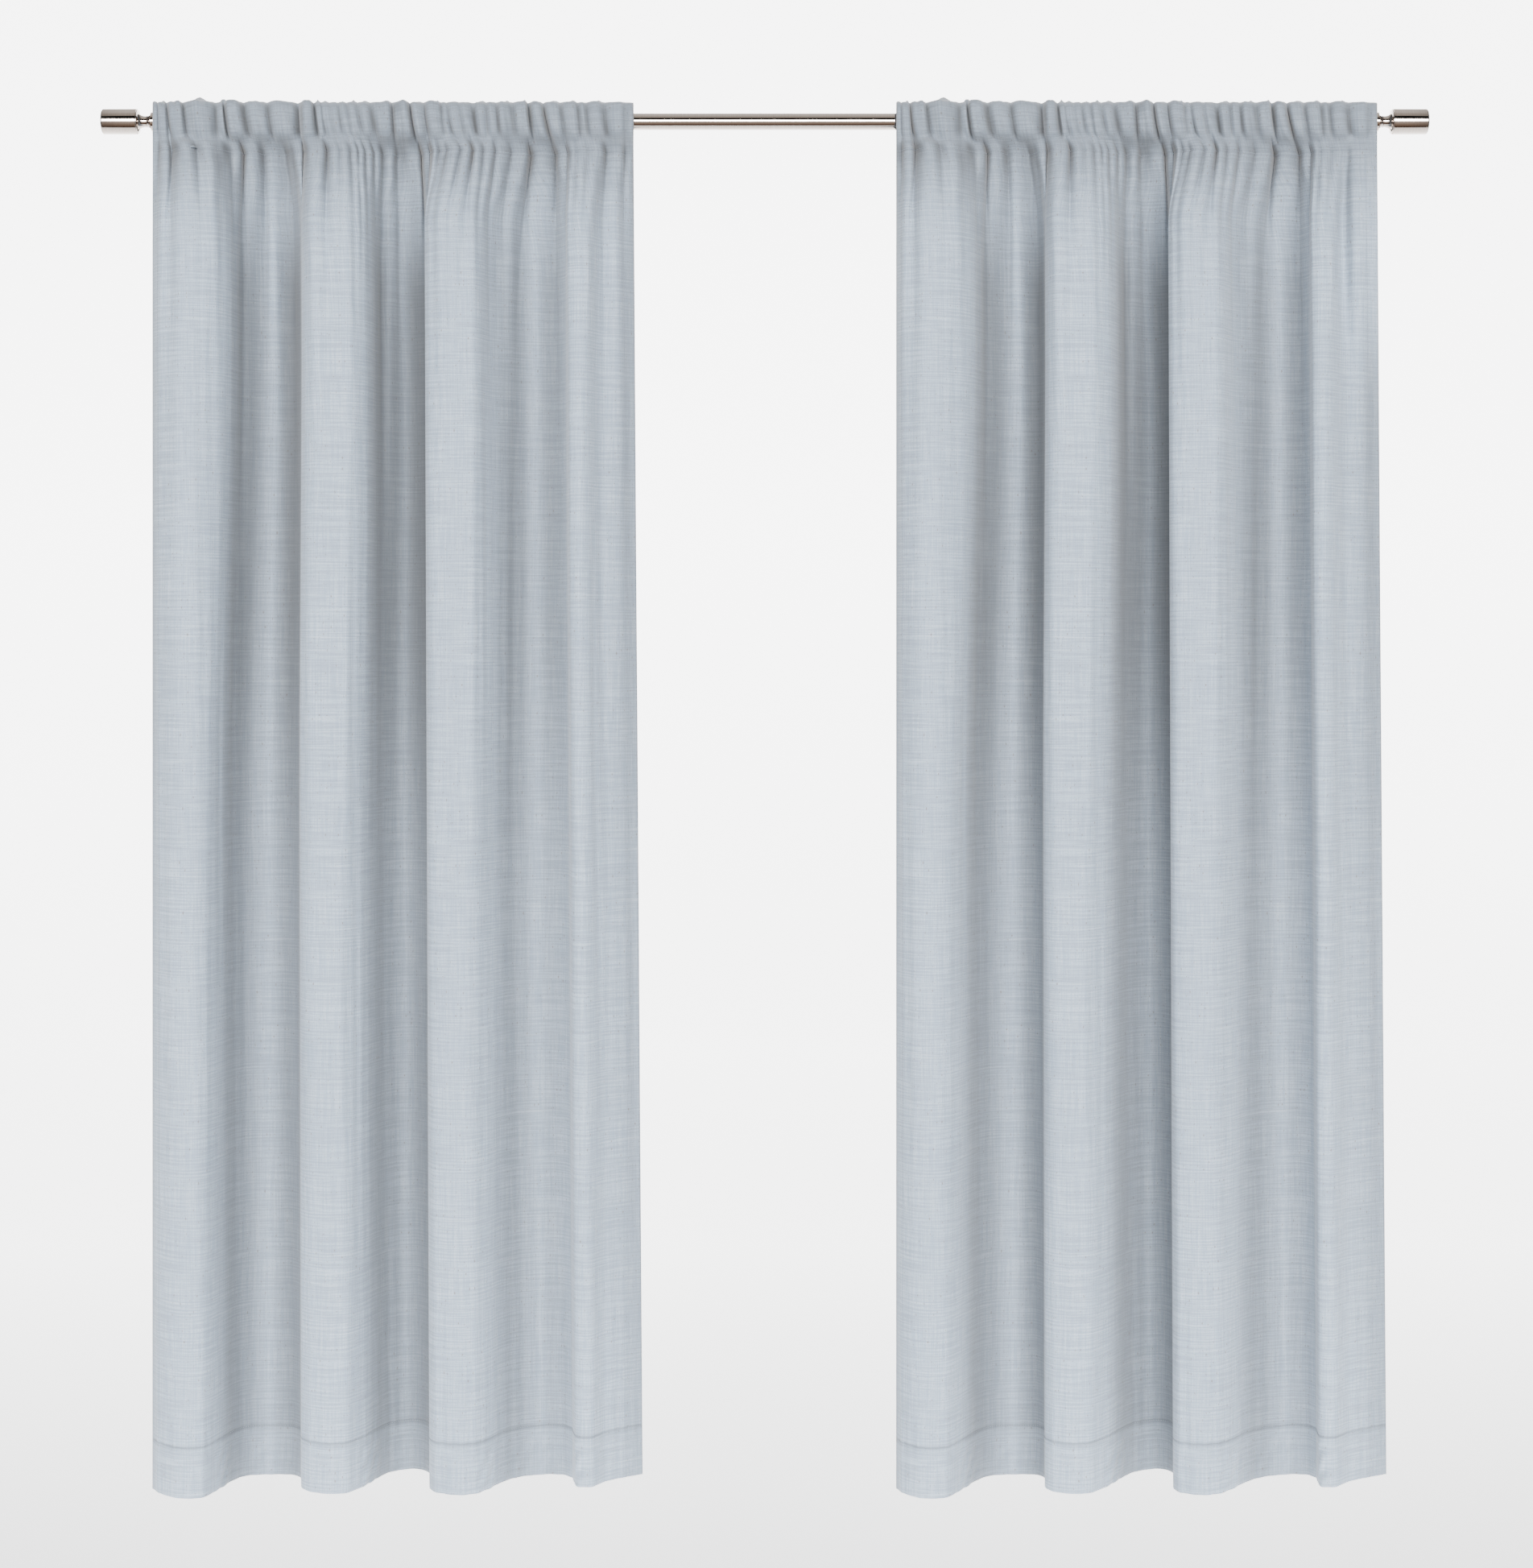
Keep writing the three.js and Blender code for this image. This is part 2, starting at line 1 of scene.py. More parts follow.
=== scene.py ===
import json
import math
import bpy
import numpy as np
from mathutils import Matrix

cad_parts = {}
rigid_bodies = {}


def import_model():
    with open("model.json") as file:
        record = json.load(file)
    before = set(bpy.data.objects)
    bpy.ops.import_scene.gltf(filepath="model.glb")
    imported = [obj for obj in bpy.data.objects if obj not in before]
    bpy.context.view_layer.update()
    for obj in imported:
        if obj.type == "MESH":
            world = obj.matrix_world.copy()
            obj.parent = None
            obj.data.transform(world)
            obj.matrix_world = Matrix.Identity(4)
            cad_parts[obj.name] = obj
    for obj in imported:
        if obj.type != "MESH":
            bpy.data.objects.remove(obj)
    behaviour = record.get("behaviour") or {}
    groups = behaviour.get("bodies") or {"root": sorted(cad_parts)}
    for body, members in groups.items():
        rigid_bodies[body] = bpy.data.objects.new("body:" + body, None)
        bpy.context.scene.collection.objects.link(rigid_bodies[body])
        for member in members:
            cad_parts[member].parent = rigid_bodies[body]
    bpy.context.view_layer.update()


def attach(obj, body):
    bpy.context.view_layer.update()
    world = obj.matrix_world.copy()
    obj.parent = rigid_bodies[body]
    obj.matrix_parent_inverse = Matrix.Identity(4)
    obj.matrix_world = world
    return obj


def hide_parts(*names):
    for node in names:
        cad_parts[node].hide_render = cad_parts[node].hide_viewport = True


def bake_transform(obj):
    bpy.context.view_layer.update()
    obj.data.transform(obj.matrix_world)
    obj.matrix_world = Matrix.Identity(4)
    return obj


# Two rod-pocket linen curtain panels on a telescoping satin nickel rod with drum finials.
# Metres: +X runs along the rod to the right, +Y goes into the wall, +Z is up.
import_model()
rodY = -0.089  # the rod's axis stands this far off the wall
random = np.random.default_rng(7)


# sRGB hex to linear: c / 12.92 below 0.04045, else ((c + 0.055) / 1.055) to the power 2.4
def hexColour(text):
    parts = [int(text[i:i + 2], 16) / 255 for i in (1, 3, 5)]
    return [c / 12.92 if c <= 0.04045 else ((c + 0.055) / 1.055) ** 2.4 for c in parts] + [1.0]


# 0 below low, 1 above high, and 3x^2 - 2x^3 between
def smoothStep(value, low, high):
    x = np.clip((value - low) / (high - low), 0, 1)
    return x * x * (3 - 2 * x)


# Catmull-Rom curve through the points, sampled evenly in its parameter
def smoothThrough(points, count):
    given = np.asarray(points, float)
    padded = np.vstack([2 * given[0] - given[1], given, 2 * given[-1] - given[-2]])
    place = np.linspace(0, len(given) - 1, count)
    index = np.minimum(place.astype(int), len(given) - 2)
    f = (place - index)[:, None]
    a, b, c, d = (padded[index + k] for k in range(4))
    return 0.5 * (2 * b + (c - a) * f + (2 * a - 5 * b + 4 * c - d) * f ** 2
                  + (3 * b - a - 3 * c + d) * f ** 3)


# Length along a path from its first point, with one value for each point
def lengthAlong(path):
    steps = np.linalg.norm(np.diff(path, axis=0), axis=1)
    return np.concatenate([[0], np.cumsum(steps)])


# The path sampled again at count points the same length apart
def evenlySpaced(path, count):
    along = lengthAlong(path)
    wanted = np.linspace(0, along[-1], count)
    return np.stack([np.interp(wanted, along, path[:, k]) for k in range(path.shape[1])], 1)


# A mesh object from vertices, faces of 3 or 4 corners and, where given, a UV for each vertex
def addMesh(name, vertices, faces, material, uv=None, smooth=True):
    data = bpy.data.meshes.new(name)
    data.from_pydata(np.asarray(vertices).tolist(), [], [list(f) for f in faces])
    if uv is not None:
        corners = np.zeros(len(data.loops), np.int32)
        data.loops.foreach_get("vertex_index", corners)
        layer = data.uv_layers.new(name="UVMap")
        layer.data.foreach_set("uv", np.asarray(uv, np.float32)[corners].ravel())
    data.polygons.foreach_set("use_smooth", np.full(len(data.polygons), smooth))
    data.materials.append(material)
    data.validate()
    data.update()
    piece = bpy.data.objects.new(name, data)
    bpy.context.scene.collection.objects.link(piece)
    return piece


# Faces of a grid of rows x columns vertices; wrap joins the last column to the first
def gridFaces(rows, columns, wrap=False, start=0):
    r, c = np.meshgrid(np.arange(rows - 1), np.arange(columns if wrap else columns - 1), indexing="ij")
    following = (c + 1) % columns
    quads = np.stack([r * columns + c, r * columns + following,
                      (r + 1) * columns + following, (r + 1) * columns + c], -1)
    return quads.reshape(-1, 4) + start


# One node with its settings and links; a link is the socket it comes from
def addNode(tree, kind, links=None, **settings):
    node = tree.nodes.new(kind)
    for key, value in settings.items():
        setattr(node, key, value)
    for socket, source in (links or {}).items():
        if isinstance(source, bpy.types.NodeSocket):
            tree.links.new(source, node.inputs[socket])
        else:
            node.inputs[socket].default_value = source
    return node


def newMaterial(name, **settings):
    material = bpy.data.materials.new(name)
    material.use_nodes = True
    shader = material.node_tree.nodes["Principled BSDF"]
    for socket, value in settings.items():
        shader.inputs[socket].default_value = value
    return material, material.node_tree, shader


# Noise in the piece's own UV, in metres, with a different number of grains per metre each way
def clothNoise(tree, grainsAcross, grainsDown, detail=2.0, roughness=0.55):
    uv = addNode(tree, "ShaderNodeTexCoord")
    scaled = addNode(tree, "ShaderNodeMapping",
                     {"Vector": uv.outputs["UV"], "Scale": (grainsAcross, grainsDown, 1)})
    return addNode(tree, "ShaderNodeTexNoise", {
        "Vector": scaled.outputs["Vector"], "Scale": 1.0, "Detail": detail,
        "Roughness": roughness}).outputs["Fac"]


def ramp(tree, source, stops):
    node = addNode(tree, "ShaderNodeValToRGB", {"Fac": source})
    elements = node.color_ramp.elements
    while len(elements) < len(stops):
        elements.new(0.5)
    for element, (place, colour) in zip(elements, stops):
        element.position = place
        element.color = colour
    return node.outputs["Color"]


def mixColour(tree, factor, first, second, how="MIX"):
    node = addNode(tree, "ShaderNodeMix", {0: factor, 6: first, 7: second}, data_type="RGBA", blend_type=how)
    return node.outputs[2]


def grey(value):
    return (value, value, value, 1)


linenLook = {
    "ground": "#93a3b4",   # pale blue grey
    "light": "#b3bfcb",    # bleached slubs
    "dark": "#7b8796",     # darker yarns
    "fleck": "#6f6257",    # specks of flax husk
    "paintedShadeColour": "#3b3a39",  # painted shade: dark tone mixed into the cloth's colour deep inside the folds, where little light reaches
    "threadPitch": 0.0009, # one yarn and its gap
}


# Linen and cotton weave: soft blue grey, heathered by paler and darker yarns that run down and
# across, with a few brown flecks of husk, and painted shade mixed in where the folds and creases lie
def linenMaterial():
    material, tree, shader = newMaterial("plain_weave_linen", Roughness=0.92)
    shader.inputs["Sheen Weight"].default_value = 0.25
    shader.inputs["Sheen Roughness"].default_value = 0.5
    shader.inputs["Specular IOR Level"].default_value = 0.25
    pitch = linenLook["threadPitch"]
    # yarns are drawn about three pitches wide, as single ones are too fine to show from across a room
    warp = clothNoise(tree, 0.36 / pitch, 14, 3)
    weft = clothNoise(tree, 11, 0.36 / pitch, 3)
    slubWarp = clothNoise(tree, 150, 5, 2)
    slubWeft = clothNoise(tree, 7, 190, 2)
    heather = clothNoise(tree, 330, 330, 2, 0.7)
    cloud = clothNoise(tree, 5, 3, 2)
    ground = hexColour(linenLook["ground"])
    light = hexColour(linenLook["light"])
    dark = hexColour(linenLook["dark"])
    colour = mixColour(tree, ramp(tree, warp, [(0.38, grey(0)), (0.66, grey(0.75))]), ground, light)
    colour = mixColour(tree, ramp(tree, weft, [(0.4, grey(0.62)), (0.62, grey(0))]), colour, dark)
    colour = mixColour(tree, ramp(tree, slubWeft, [(0.6, grey(0)), (0.74, grey(0.55))]), colour, light)
    colour = mixColour(tree, ramp(tree, slubWarp, [(0.62, grey(0)), (0.76, grey(0.4))]), colour, light)
    colour = mixColour(tree, ramp(tree, heather, [(0.3, grey(0.55)), (0.46, grey(0))]), colour, dark)
    colour = mixColour(tree, ramp(tree, cloud, [(0.35, grey(0.16)), (0.65, grey(0))]), colour, dark)
    flecks = clothNoise(tree, 300, 170, 0)
    colour = mixColour(tree, ramp(tree, flecks, [(0.755, grey(0)), (0.79, grey(0.6))]),
                       colour, hexColour(linenLook["fleck"]))
    # painted shade: the colour is mixed towards the dark painted tone as far as the cloth's shade attribute
    # marks folds and creases
    inside = addNode(tree, "ShaderNodeAttribute", attribute_name="foldShade")
    paintedShadeMix = ramp(tree, inside.outputs["Fac"], [(0, grey(0)), (1, grey(1))])
    colour = mixColour(tree, paintedShadeMix, colour, hexColour(linenLook["paintedShadeColour"]))
    tree.links.new(colour, shader.inputs["Base Color"])
    relief = mixColour(tree, 0.5, warp, weft)
    bump = addNode(tree, "ShaderNodeBump", {"Height": relief, "Strength": 0.35, "Distance": 0.0012})
    tree.links.new(bump.outputs["Normal"], shader.inputs["Normal"])
    return material


# Spun polyester thread: a shade darker than the cloth, with the twist of its two plies
def threadMaterial():
    material, tree, shader = newMaterial("grey_sewing_thread", Roughness=0.7)
    where = addNode(tree, "ShaderNodeTexCoord").outputs["Object"]
    turned = addNode(tree, "ShaderNodeMapping", {"Vector": where, "Rotation": (0, math.radians(35), 0)})
    plies = addNode(tree, "ShaderNodeTexWave",
                    {"Vector": turned.outputs["Vector"], "Scale": 400, "Distortion": 1.0})
    tone = ramp(tree, plies.outputs["Fac"], [(0.2, hexColour("#6b747f")), (0.8, hexColour("#8b939d"))])
    tree.links.new(tone, shader.inputs["Base Color"])
    return material


# Woven satin label: blank, white, with a fine horizontal rib
def labelMaterial():
    material, tree, shader = newMaterial("white_satin_label", Roughness=0.45)
    shader.inputs["Sheen Weight"].default_value = 0.3
    where = addNode(tree, "ShaderNodeTexCoord").outputs["Object"]
    ribs = addNode(tree, "ShaderNodeTexWave", {"Vector": where, "Scale": 320}, bands_direction="Z")
    tone = ramp(tree, ribs.outputs["Fac"], [(0, hexColour("#dfddd6")), (1, hexColour("#f3f1ec"))])
    tree.links.new(tone, shader.inputs["Base Color"])
    return material


# Satin nickel plate: warm grey metal whose fine turned lines run round the piece
def nickelMaterial():
    material, tree, shader = newMaterial("satin_nickel_plate", Metallic=1.0)
    where = addNode(tree, "ShaderNodeTexCoord").outputs["Object"]
    # lines are drawn about 0.5 mm apart, coarser than real polishing marks
    stretched = addNode(tree, "ShaderNodeMapping", {"Vector": where, "Scale": (2000, 30, 30)})
    lines = addNode(tree, "ShaderNodeTexNoise",
                    {"Vector": stretched.outputs["Vector"], "Scale": 1.0, "Detail": 3})
    smears = addNode(tree, "ShaderNodeTexNoise", {"Vector": where, "Scale": 40, "Detail": 2})
    tone = ramp(tree, lines.outputs["Fac"], [(0.3, hexColour("#bcb0a8")), (0.7, hexColour("#cdc3bb"))])
    tree.links.new(tone, shader.inputs["Base Color"])
    shine = ramp(tree, smears.outputs["Fac"], [(0.3, grey(0.07)), (0.7, grey(0.11))])
    tree.links.new(shine, shader.inputs["Roughness"])
    bump = addNode(tree, "ShaderNodeBump",
                   {"Height": lines.outputs["Fac"], "Strength": 0.12, "Distance": 0.0001})
    tree.links.new(bump.outputs["Normal"], shader.inputs["Normal"])
    return material


# Bright zinc plated steel: cool grey with the faint cloudy bloom of a passivated coat
def zincMaterial(name, dull):
    material, tree, shader = newMaterial(name, Metallic=1.0)
    where = addNode(tree, "ShaderNodeTexCoord").outputs["Object"]
    bloom = addNode(tree, "ShaderNodeTexNoise", {"Vector": where, "Scale": 90, "Detail": 4})
    tone = ramp(tree, bloom.outputs["Fac"], [(0.35, hexColour("#a3a39f")), (0.7, hexColour("#c3c2bd"))])
    tree.links.new(tone, shader.inputs["Base Color"])
    shine = ramp(tree, bloom.outputs["Fac"], [(0.3, grey(dull)), (0.7, grey(dull + 0.12))])
    tree.links.new(shine, shader.inputs["Roughness"])
    return material


# Moulded white plastic: slightly warm, with the fine grain of a spark-eroded mould
def plasticMaterial():
    material, tree, shader = newMaterial("white_moulded_plastic", Roughness=0.45)
    where = addNode(tree, "ShaderNodeTexCoord").outputs["Object"]
    grain = addNode(tree, "ShaderNodeTexNoise", {"Vector": where, "Scale": 1500, "Detail": 2})
    tone = ramp(tree, grain.outputs["Fac"], [(0.3, hexColour("#dcd9d2")), (0.7, hexColour("#e8e6e0"))])
    tree.links.new(tone, shader.inputs["Base Color"])
    bump = addNode(tree, "ShaderNodeBump",
                   {"Height": grain.outputs["Fac"], "Strength": 0.15, "Distance": 0.0001})
    tree.links.new(bump.outputs["Normal"], shader.inputs["Normal"])
    return material


linen = linenMaterial()
thread = threadMaterial()
labelSatin = labelMaterial()
nickel = nickelMaterial()
zinc = zincMaterial("zinc_plated_bracket", 0.34)
screwZinc = zincMaterial("zinc_plated_screw", 0.24)
plastic = plasticMaterial()
print("materials made")


rodSizes = {
    "half": 0.938, "outerRadius": 0.0127, "wall": 0.0006, "outerLength": 1.219,
    "innerRadius": 0.011, "innerLength": 1.118,
}
finialSizes = {
    "gap": 0.0003, "collarLength": 0.009, "collarRadius": 0.0142, "neckLength": 0.02,
    "waistRadius": 0.0083, "rimRadius": 0.0155, "bore": 0.0053,
    "drumRadius": 0.0195, "drumLength": 0.055, "drumEdge": 0.0022, "socketDepth": 0.016,
}


# Every corner of a closed profile of [along X, radius, bevel] cut back by its bevel and rounded
# by a quarter circle drawn as a three-point curve
def roundedProfile(corners):
    points = np.array([c[:2] for c in corners])
    bevels = np.array([c[2] if len(c) > 2 else 0 for c in corners])[:, None]
    before = np.roll(points, 1, 0) - points
    after = np.roll(points, -1, 0) - points
    before = before / np.maximum(np.linalg.norm(before, axis=1), 1e-9)[:, None]
    after = after / np.maximum(np.linalg.norm(after, axis=1), 1e-9)[:, None]
    start, end = points + before * bevels, points + after * bevels
    rounded = []
    for k in range(len(points)):
        if bevels[k, 0] > 0:
            for f in (0, 0.25, 0.5, 0.75, 1):
                rounded.append((1 - f) ** 2 * start[k] + 2 * f * (1 - f) * points[k] + f ** 2 * end[k])
        else:
            rounded.append(points[k])
    return np.array(rounded)


# A profile of [x, r] turned about the rod's axis: (x, r sin a, r cos a) at each angle a.
# Points on the axis are merged into one; a profile off the axis closes on itself.
def turnedPiece(name, profile, material, sides=96, side=1):
    profile = np.asarray(profile, float) * [side, 1]
    onAxis = profile[:, 1] < 1e-9
    angle = np.linspace(0, 2 * math.pi, sides, endpoint=False)
    ringed = profile[~onAxis]
    x = np.repeat(ringed[:, :1], sides, 1)
    rings = np.stack([x, ringed[:, 1:] * np.sin(angle), ringed[:, 1:] * np.cos(angle)], -1).reshape(-1, 3)
    rows = len(ringed)
    faces = gridFaces(rows, sides, wrap=True).tolist()
    vertices = rings
    if onAxis.any():
        ends = profile[onAxis]
        vertices = np.vstack([rings, [[ends[0, 0], 0, 0], [ends[-1, 0], 0, 0]]])
        around = np.arange(sides)
        following = (around + 1) % sides
        first, last = rows * sides, rows * sides + 1
        faces += np.stack([np.full(sides, first), following, around], 1).tolist()
        base = (rows - 1) * sides
        faces += np.stack([np.full(sides, last), base + around, base + following], 1).tolist()
    else:
        faces += np.stack([(rows - 1) * sides + np.arange(sides),
                           (rows - 1) * sides + (np.arange(sides) + 1) % sides,
                           (np.arange(sides) + 1) % sides, np.arange(sides)], 1).tolist()
    vertices = vertices + [0, rodY, 0]
    piece = addMesh(name, vertices, faces, material)
    outward(piece)
    return piece


# Turns a closed mesh's faces outwards: its volume, the sum of a . (b x c) / 6, is made positive
def outward(piece):
    data = piece.data
    data.calc_loop_triangles()
    corners = np.zeros(len(data.loop_triangles) * 3, np.int32)
    data.loop_triangles.foreach_get("vertices", corners)
    places = np.zeros(len(data.vertices) * 3)
    data.vertices.foreach_get("co", places)
    a, b, c = places.reshape(-1, 3)[corners.reshape(-1, 3)].transpose(1, 0, 2)
    if np.einsum("ij,ij->", a - a.mean(0), np.cross(b - a.mean(0), c - a.mean(0))) < 0:
        data.flip_normals()


def sharpEdges(piece, degrees=35):
    piece.data.set_sharp_from_angle(angle=math.radians(degrees))


def tubePiece(name, start, end, outside, inside):
    lip = 0.00018
    profile = roundedProfile([(start, inside), (end, inside), (end, outside, lip), (start, outside, lip)])
    piece = turnedPiece(name, profile, nickel)
    sharpEdges(piece)
    return piece


def makeRod():
    half, radius = rodSizes["half"], rodSizes["outerRadius"]
    outer = tubePiece("satin_rod_outer", -half, -half + rodSizes["outerLength"],
                      radius, radius - rodSizes["wall"])
    inner = tubePiece("satin_rod_inner", half - rodSizes["innerLength"], half,
                      rodSizes["innerRadius"], rodSizes["innerRadius"] - rodSizes["wall"])
    for piece, body, node in ((outer, "rod", "rod_outer_tube"), (inner, "inner_rod", "rod_inner_tube")):
        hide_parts(node)
        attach(piece, body)


# Neck: a short collar, a cove in to the waist and one out to the drum's rim.
# Each cove is a quarter ellipse: r = waist + rise (1 - cos), x = waist + length sin.
def makeFinial(prefix, side):
    f = finialSizes
    neckStart = rodSizes["half"] + f["gap"]
    flare = neckStart + f["collarLength"]
    neckEnd = flare + f["neckLength"]
    waist = flare + f["neckLength"] * 0.42
    turn = np.linspace(0, math.pi / 2, 14)
    inward = np.stack([waist - (waist - flare) * np.cos(turn),
                       f["collarRadius"] - (f["collarRadius"] - f["waistRadius"]) * np.sin(turn)], 1)
    outwardCove = np.stack([waist + (neckEnd - waist) * np.sin(turn),
                            f["waistRadius"] + (f["rimRadius"] - f["waistRadius"]) * (1 - np.cos(turn))], 1)
    bead = 0.0007  # the fine ring turned beside the waist
    ring = [[waist - 0.0022, f["waistRadius"] + 0.0002], [waist - 0.0016, f["waistRadius"] + bead],
            [waist - 0.001, f["waistRadius"] + bead], [waist - 0.0004, f["waistRadius"]]]
    lip = 0.0006
    profile = np.vstack([[[neckStart, f["bore"]]],
                         roundedProfile([(neckStart, f["bore"]), (neckStart, f["collarRadius"], lip),
                                         (flare, f["collarRadius"])])[1:6],
                         inward[inward[:, 0] < waist - 0.0026], ring, outwardCove[1:],
                         [[neckEnd, f["bore"]]]])
    neck = turnedPiece(prefix + "_satin_neck", profile, nickel, side=side)
    sharpEdges(neck)
    start = neckEnd + f["gap"]
    end = start + f["drumLength"]
    socket = start + f["socketDepth"]
    radius, edge = f["drumRadius"], f["drumEdge"]
    drumProfile = roundedProfile([
        (socket, 0), (socket, f["bore"]), (start, f["bore"]), (start, radius - 0.0016, 0.0002),
        (start + 0.0006, radius - 0.0010, 0.0002), (start + 0.0012, radius - 0.0010, 0.0002),
        (start + 0.0014, radius, 0.0003), (end, radius, edge), (end, 0)])
    drum = turnedPiece(prefix + "_satin_drum", drumProfile, nickel, side=side)
    sharpEdges(drum)
    for piece, node in ((neck, prefix + "_finial_neck"), (drum, prefix + "_finial_drum")):
        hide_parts(node)
        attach(piece, prefix + "_finial")


makeRod()
makeFinial("left", -1)
makeFinial("right", 1)
print("rod and finials made")


# Gives the frame's own brackets, screws and plastic pieces their real finishes
def dressNodes():
    finishes = {"wall_screw": screwZinc, "lock_screw": screwZinc, "clamp_screw": screwZinc,
                "wall_plate": zinc, "bracket_arm": zinc, "plug": plastic, "collar": plastic, "glide": plastic}
    for piece in list(bpy.data.objects):
        if piece.type != "MESH" or piece.hide_render:
            continue
        for word, material in finishes.items():
            if piece.name.endswith(word):
                for index in range(len(piece.material_slots)):
                    piece.material_slots[index].material = material


dressNodes()


curtain = {
    "flatWidth": 1.372, "topWidth": 0.743, "hemWidth": 0.757, "drop": 2.134,
    "topRise": 0.0286,       # top edge over the rod's axis
    "bracketClear": 0.0195,  # how far forward of the rod axis the cloth stays beside a bracket
    "pocketDepth": 0.076, "hemDepth": 0.076, "sideHem": 0.027, "turnUp": 0.082,
    "thickness": 0.0006,
    "layerGap": 0.0018,      # between the middles of two layers sewn together
    "panelReach": 0.008,     # outer edges past the rod's ends
    "openPocketEnd": 0.038,  # the pocket's back layer stops this far in, for the bracket
    # widths of the puffs between creases along the rod, in mm, left to right
    "puffs": [10, 22, 30, 46, 19, 35, 37, 40, 31, 15, 14, 12, 14, 20, 19, 25, 36, 22, 30, 12,
              19, 16, 17, 19, 26, 27, 32, 21, 22, 14, 29, 26, 12],
    # creases that run far down, by their number from the left
    "longCreases": {2: 1.0, 5: 1.1, 8: 1.0, 9: 0.8, 17: 1.3, 22: 1.0, 26: 1.5, 27: 0.8},
    # along the hem: mm from the left edge and mm forward of the rod's axis
    "folds": [(0, 16), (14, 42), (33, 58), (57, 65), (83, 52), (106, 12), (128, -28), (154, -49), (188, -53),
              (212, -52), (227, -40), (231, -14), (230, 10), (240, 27), (260, 38), (282, 41), (304, 33),
              (326, 6), (348, -34), (368, -64), (392, -78), (414, -77), (429, -56), (432, -18), (428, 10),
              (436, 31), (457, 43), (487, 45), (513, 26), (543, -18), (570, -42), (604, -52), (630, -52),
              (647, -38), (651, -16), (655, 4), (668, 10), (682, 4), (700, -17), (722, -34), (757, -55)],
    # rod pocket's cross-section: mm forward and mm up, from the seam over the rod and back to the seam
    "pocketLoop": [(1.5, -47.4), (6, -38), (12, -26), (16.5, -13), (17.5, 0), (16, 12), (10, 23), (0, 28.6),
                   (-9, 23), (-15, 12), (-16.5, 0), (-15.5, -13), (-11, -26), (-5, -38), (0, -47.4)],
    "viewDistance": 4.2,
}


# Forward puffs between creases: 1 - |2p - 1|^n over each puff's share p, times a height that grows
# with its width; n is higher over the rod, for flatter puffs and narrower creases. Each puff fades
# down the cloth over its own length. Below is negative above the seam.
def puffPattern(share, below):
    source = np.random.default_rng(11)
    widths = np.array(curtain["puffs"], float)
    edges = np.concatenate([[0], np.cumsum(widths)]) / widths.sum()
    width = curtain["topWidth"]
    above = -np.minimum(below, 0)[:, None]
    index = np.clip(np.searchsorted(edges, share, side="right") - 1, 0, len(widths) - 1)
    p = np.clip((share - edges[index]) / (edges[index + 1] - edges[index]), 0, 1)
    jitter = source.uniform(0.8, 1.2, len(widths))
    height = 0.001 * widths ** 0.8 * 1.0 * jitter
    reach = 0.09 + 0.0052 * widths * source.uniform(0.7, 1.3, len(widths))
    tilt = source.uniform(-0.35, 0.35, len(widths))[index]
    flatness = 2.3 + 0.9 * smoothStep(above, -0.001, 0.02)
    arch = (1 - np.abs(2 * p - 1) ** flatness) * (1 + tilt * (2 * p - 1)) * height[index]
    fade = np.exp(-(np.maximum(below, 0)[:, None] / reach[index]) ** 1.2)
    puffs = arch * fade
    # long creases: narrow V-shaped valleys that open and soften as they run down
    for number, strength in curtain["longCreases"].items():
        length = 0.08 + 0.06 * strength
        spread = 0.0020 + 0.012 * smoothStep(below, 0, 0.5)[:, None]
        drift = 0.010 * np.sin(number * 2.1) * smoothStep(below, -0.02, 0.3)[:, None]
        away = np.abs((share - edges[number]) * width - drift)
        depth = 0.014 * strength * np.exp(-(np.maximum(below, 0)[:, None] / length) ** 1.5)
        puffs = puffs - depth * np.exp(-away / spread)
    # crinkles: short slanting ridges that die out a hand's breadth below the seam
    crinkles = np.zeros_like(puffs)
    for _ in range(16):
        pitch, slant, phase = source.uniform(0.011, 0.030), source.uniform(-0.3, 0.3), source.uniform(0, 6.28)
        place = share * width + slant * np.maximum(below, -0.08)[:, None]
        crinkles += np.sin(2 * math.pi * place / pitch + phase + 2 * np.sin(place * 23 + phase))
    return puffs + 0.00035 * crinkles * np.exp(-(np.maximum(below, 0)[:, None] / 0.06) ** 1.2)


# Softer ripples left between the puffs and the great folds: a sum of sines with drifting phases,
# strongest a third of a metre below the seam
def ripplePattern(share, below):
    total = np.zeros((len(below), len(share)))
    for count, size in ((7.3, 0.0030), (10.6, 0.0042), (14.2, 0.0034), (18.9, 0.0022), (25.3, 0.0012)):
        phase, drift = random.uniform(0, 2 * math.pi, 2)
        swing = 0.9 * np.sin(drift + below * 2.2)[:, None]
        total += size * np.sin(2 * math.pi * count * share + phase + swing)
    rise = smoothStep(below, -0.02, 0.2) * np.exp(-(np.maximum(below - 0.15, 0) / 0.62) ** 1.3)
    return total * (rise + 0.06)[:, None]


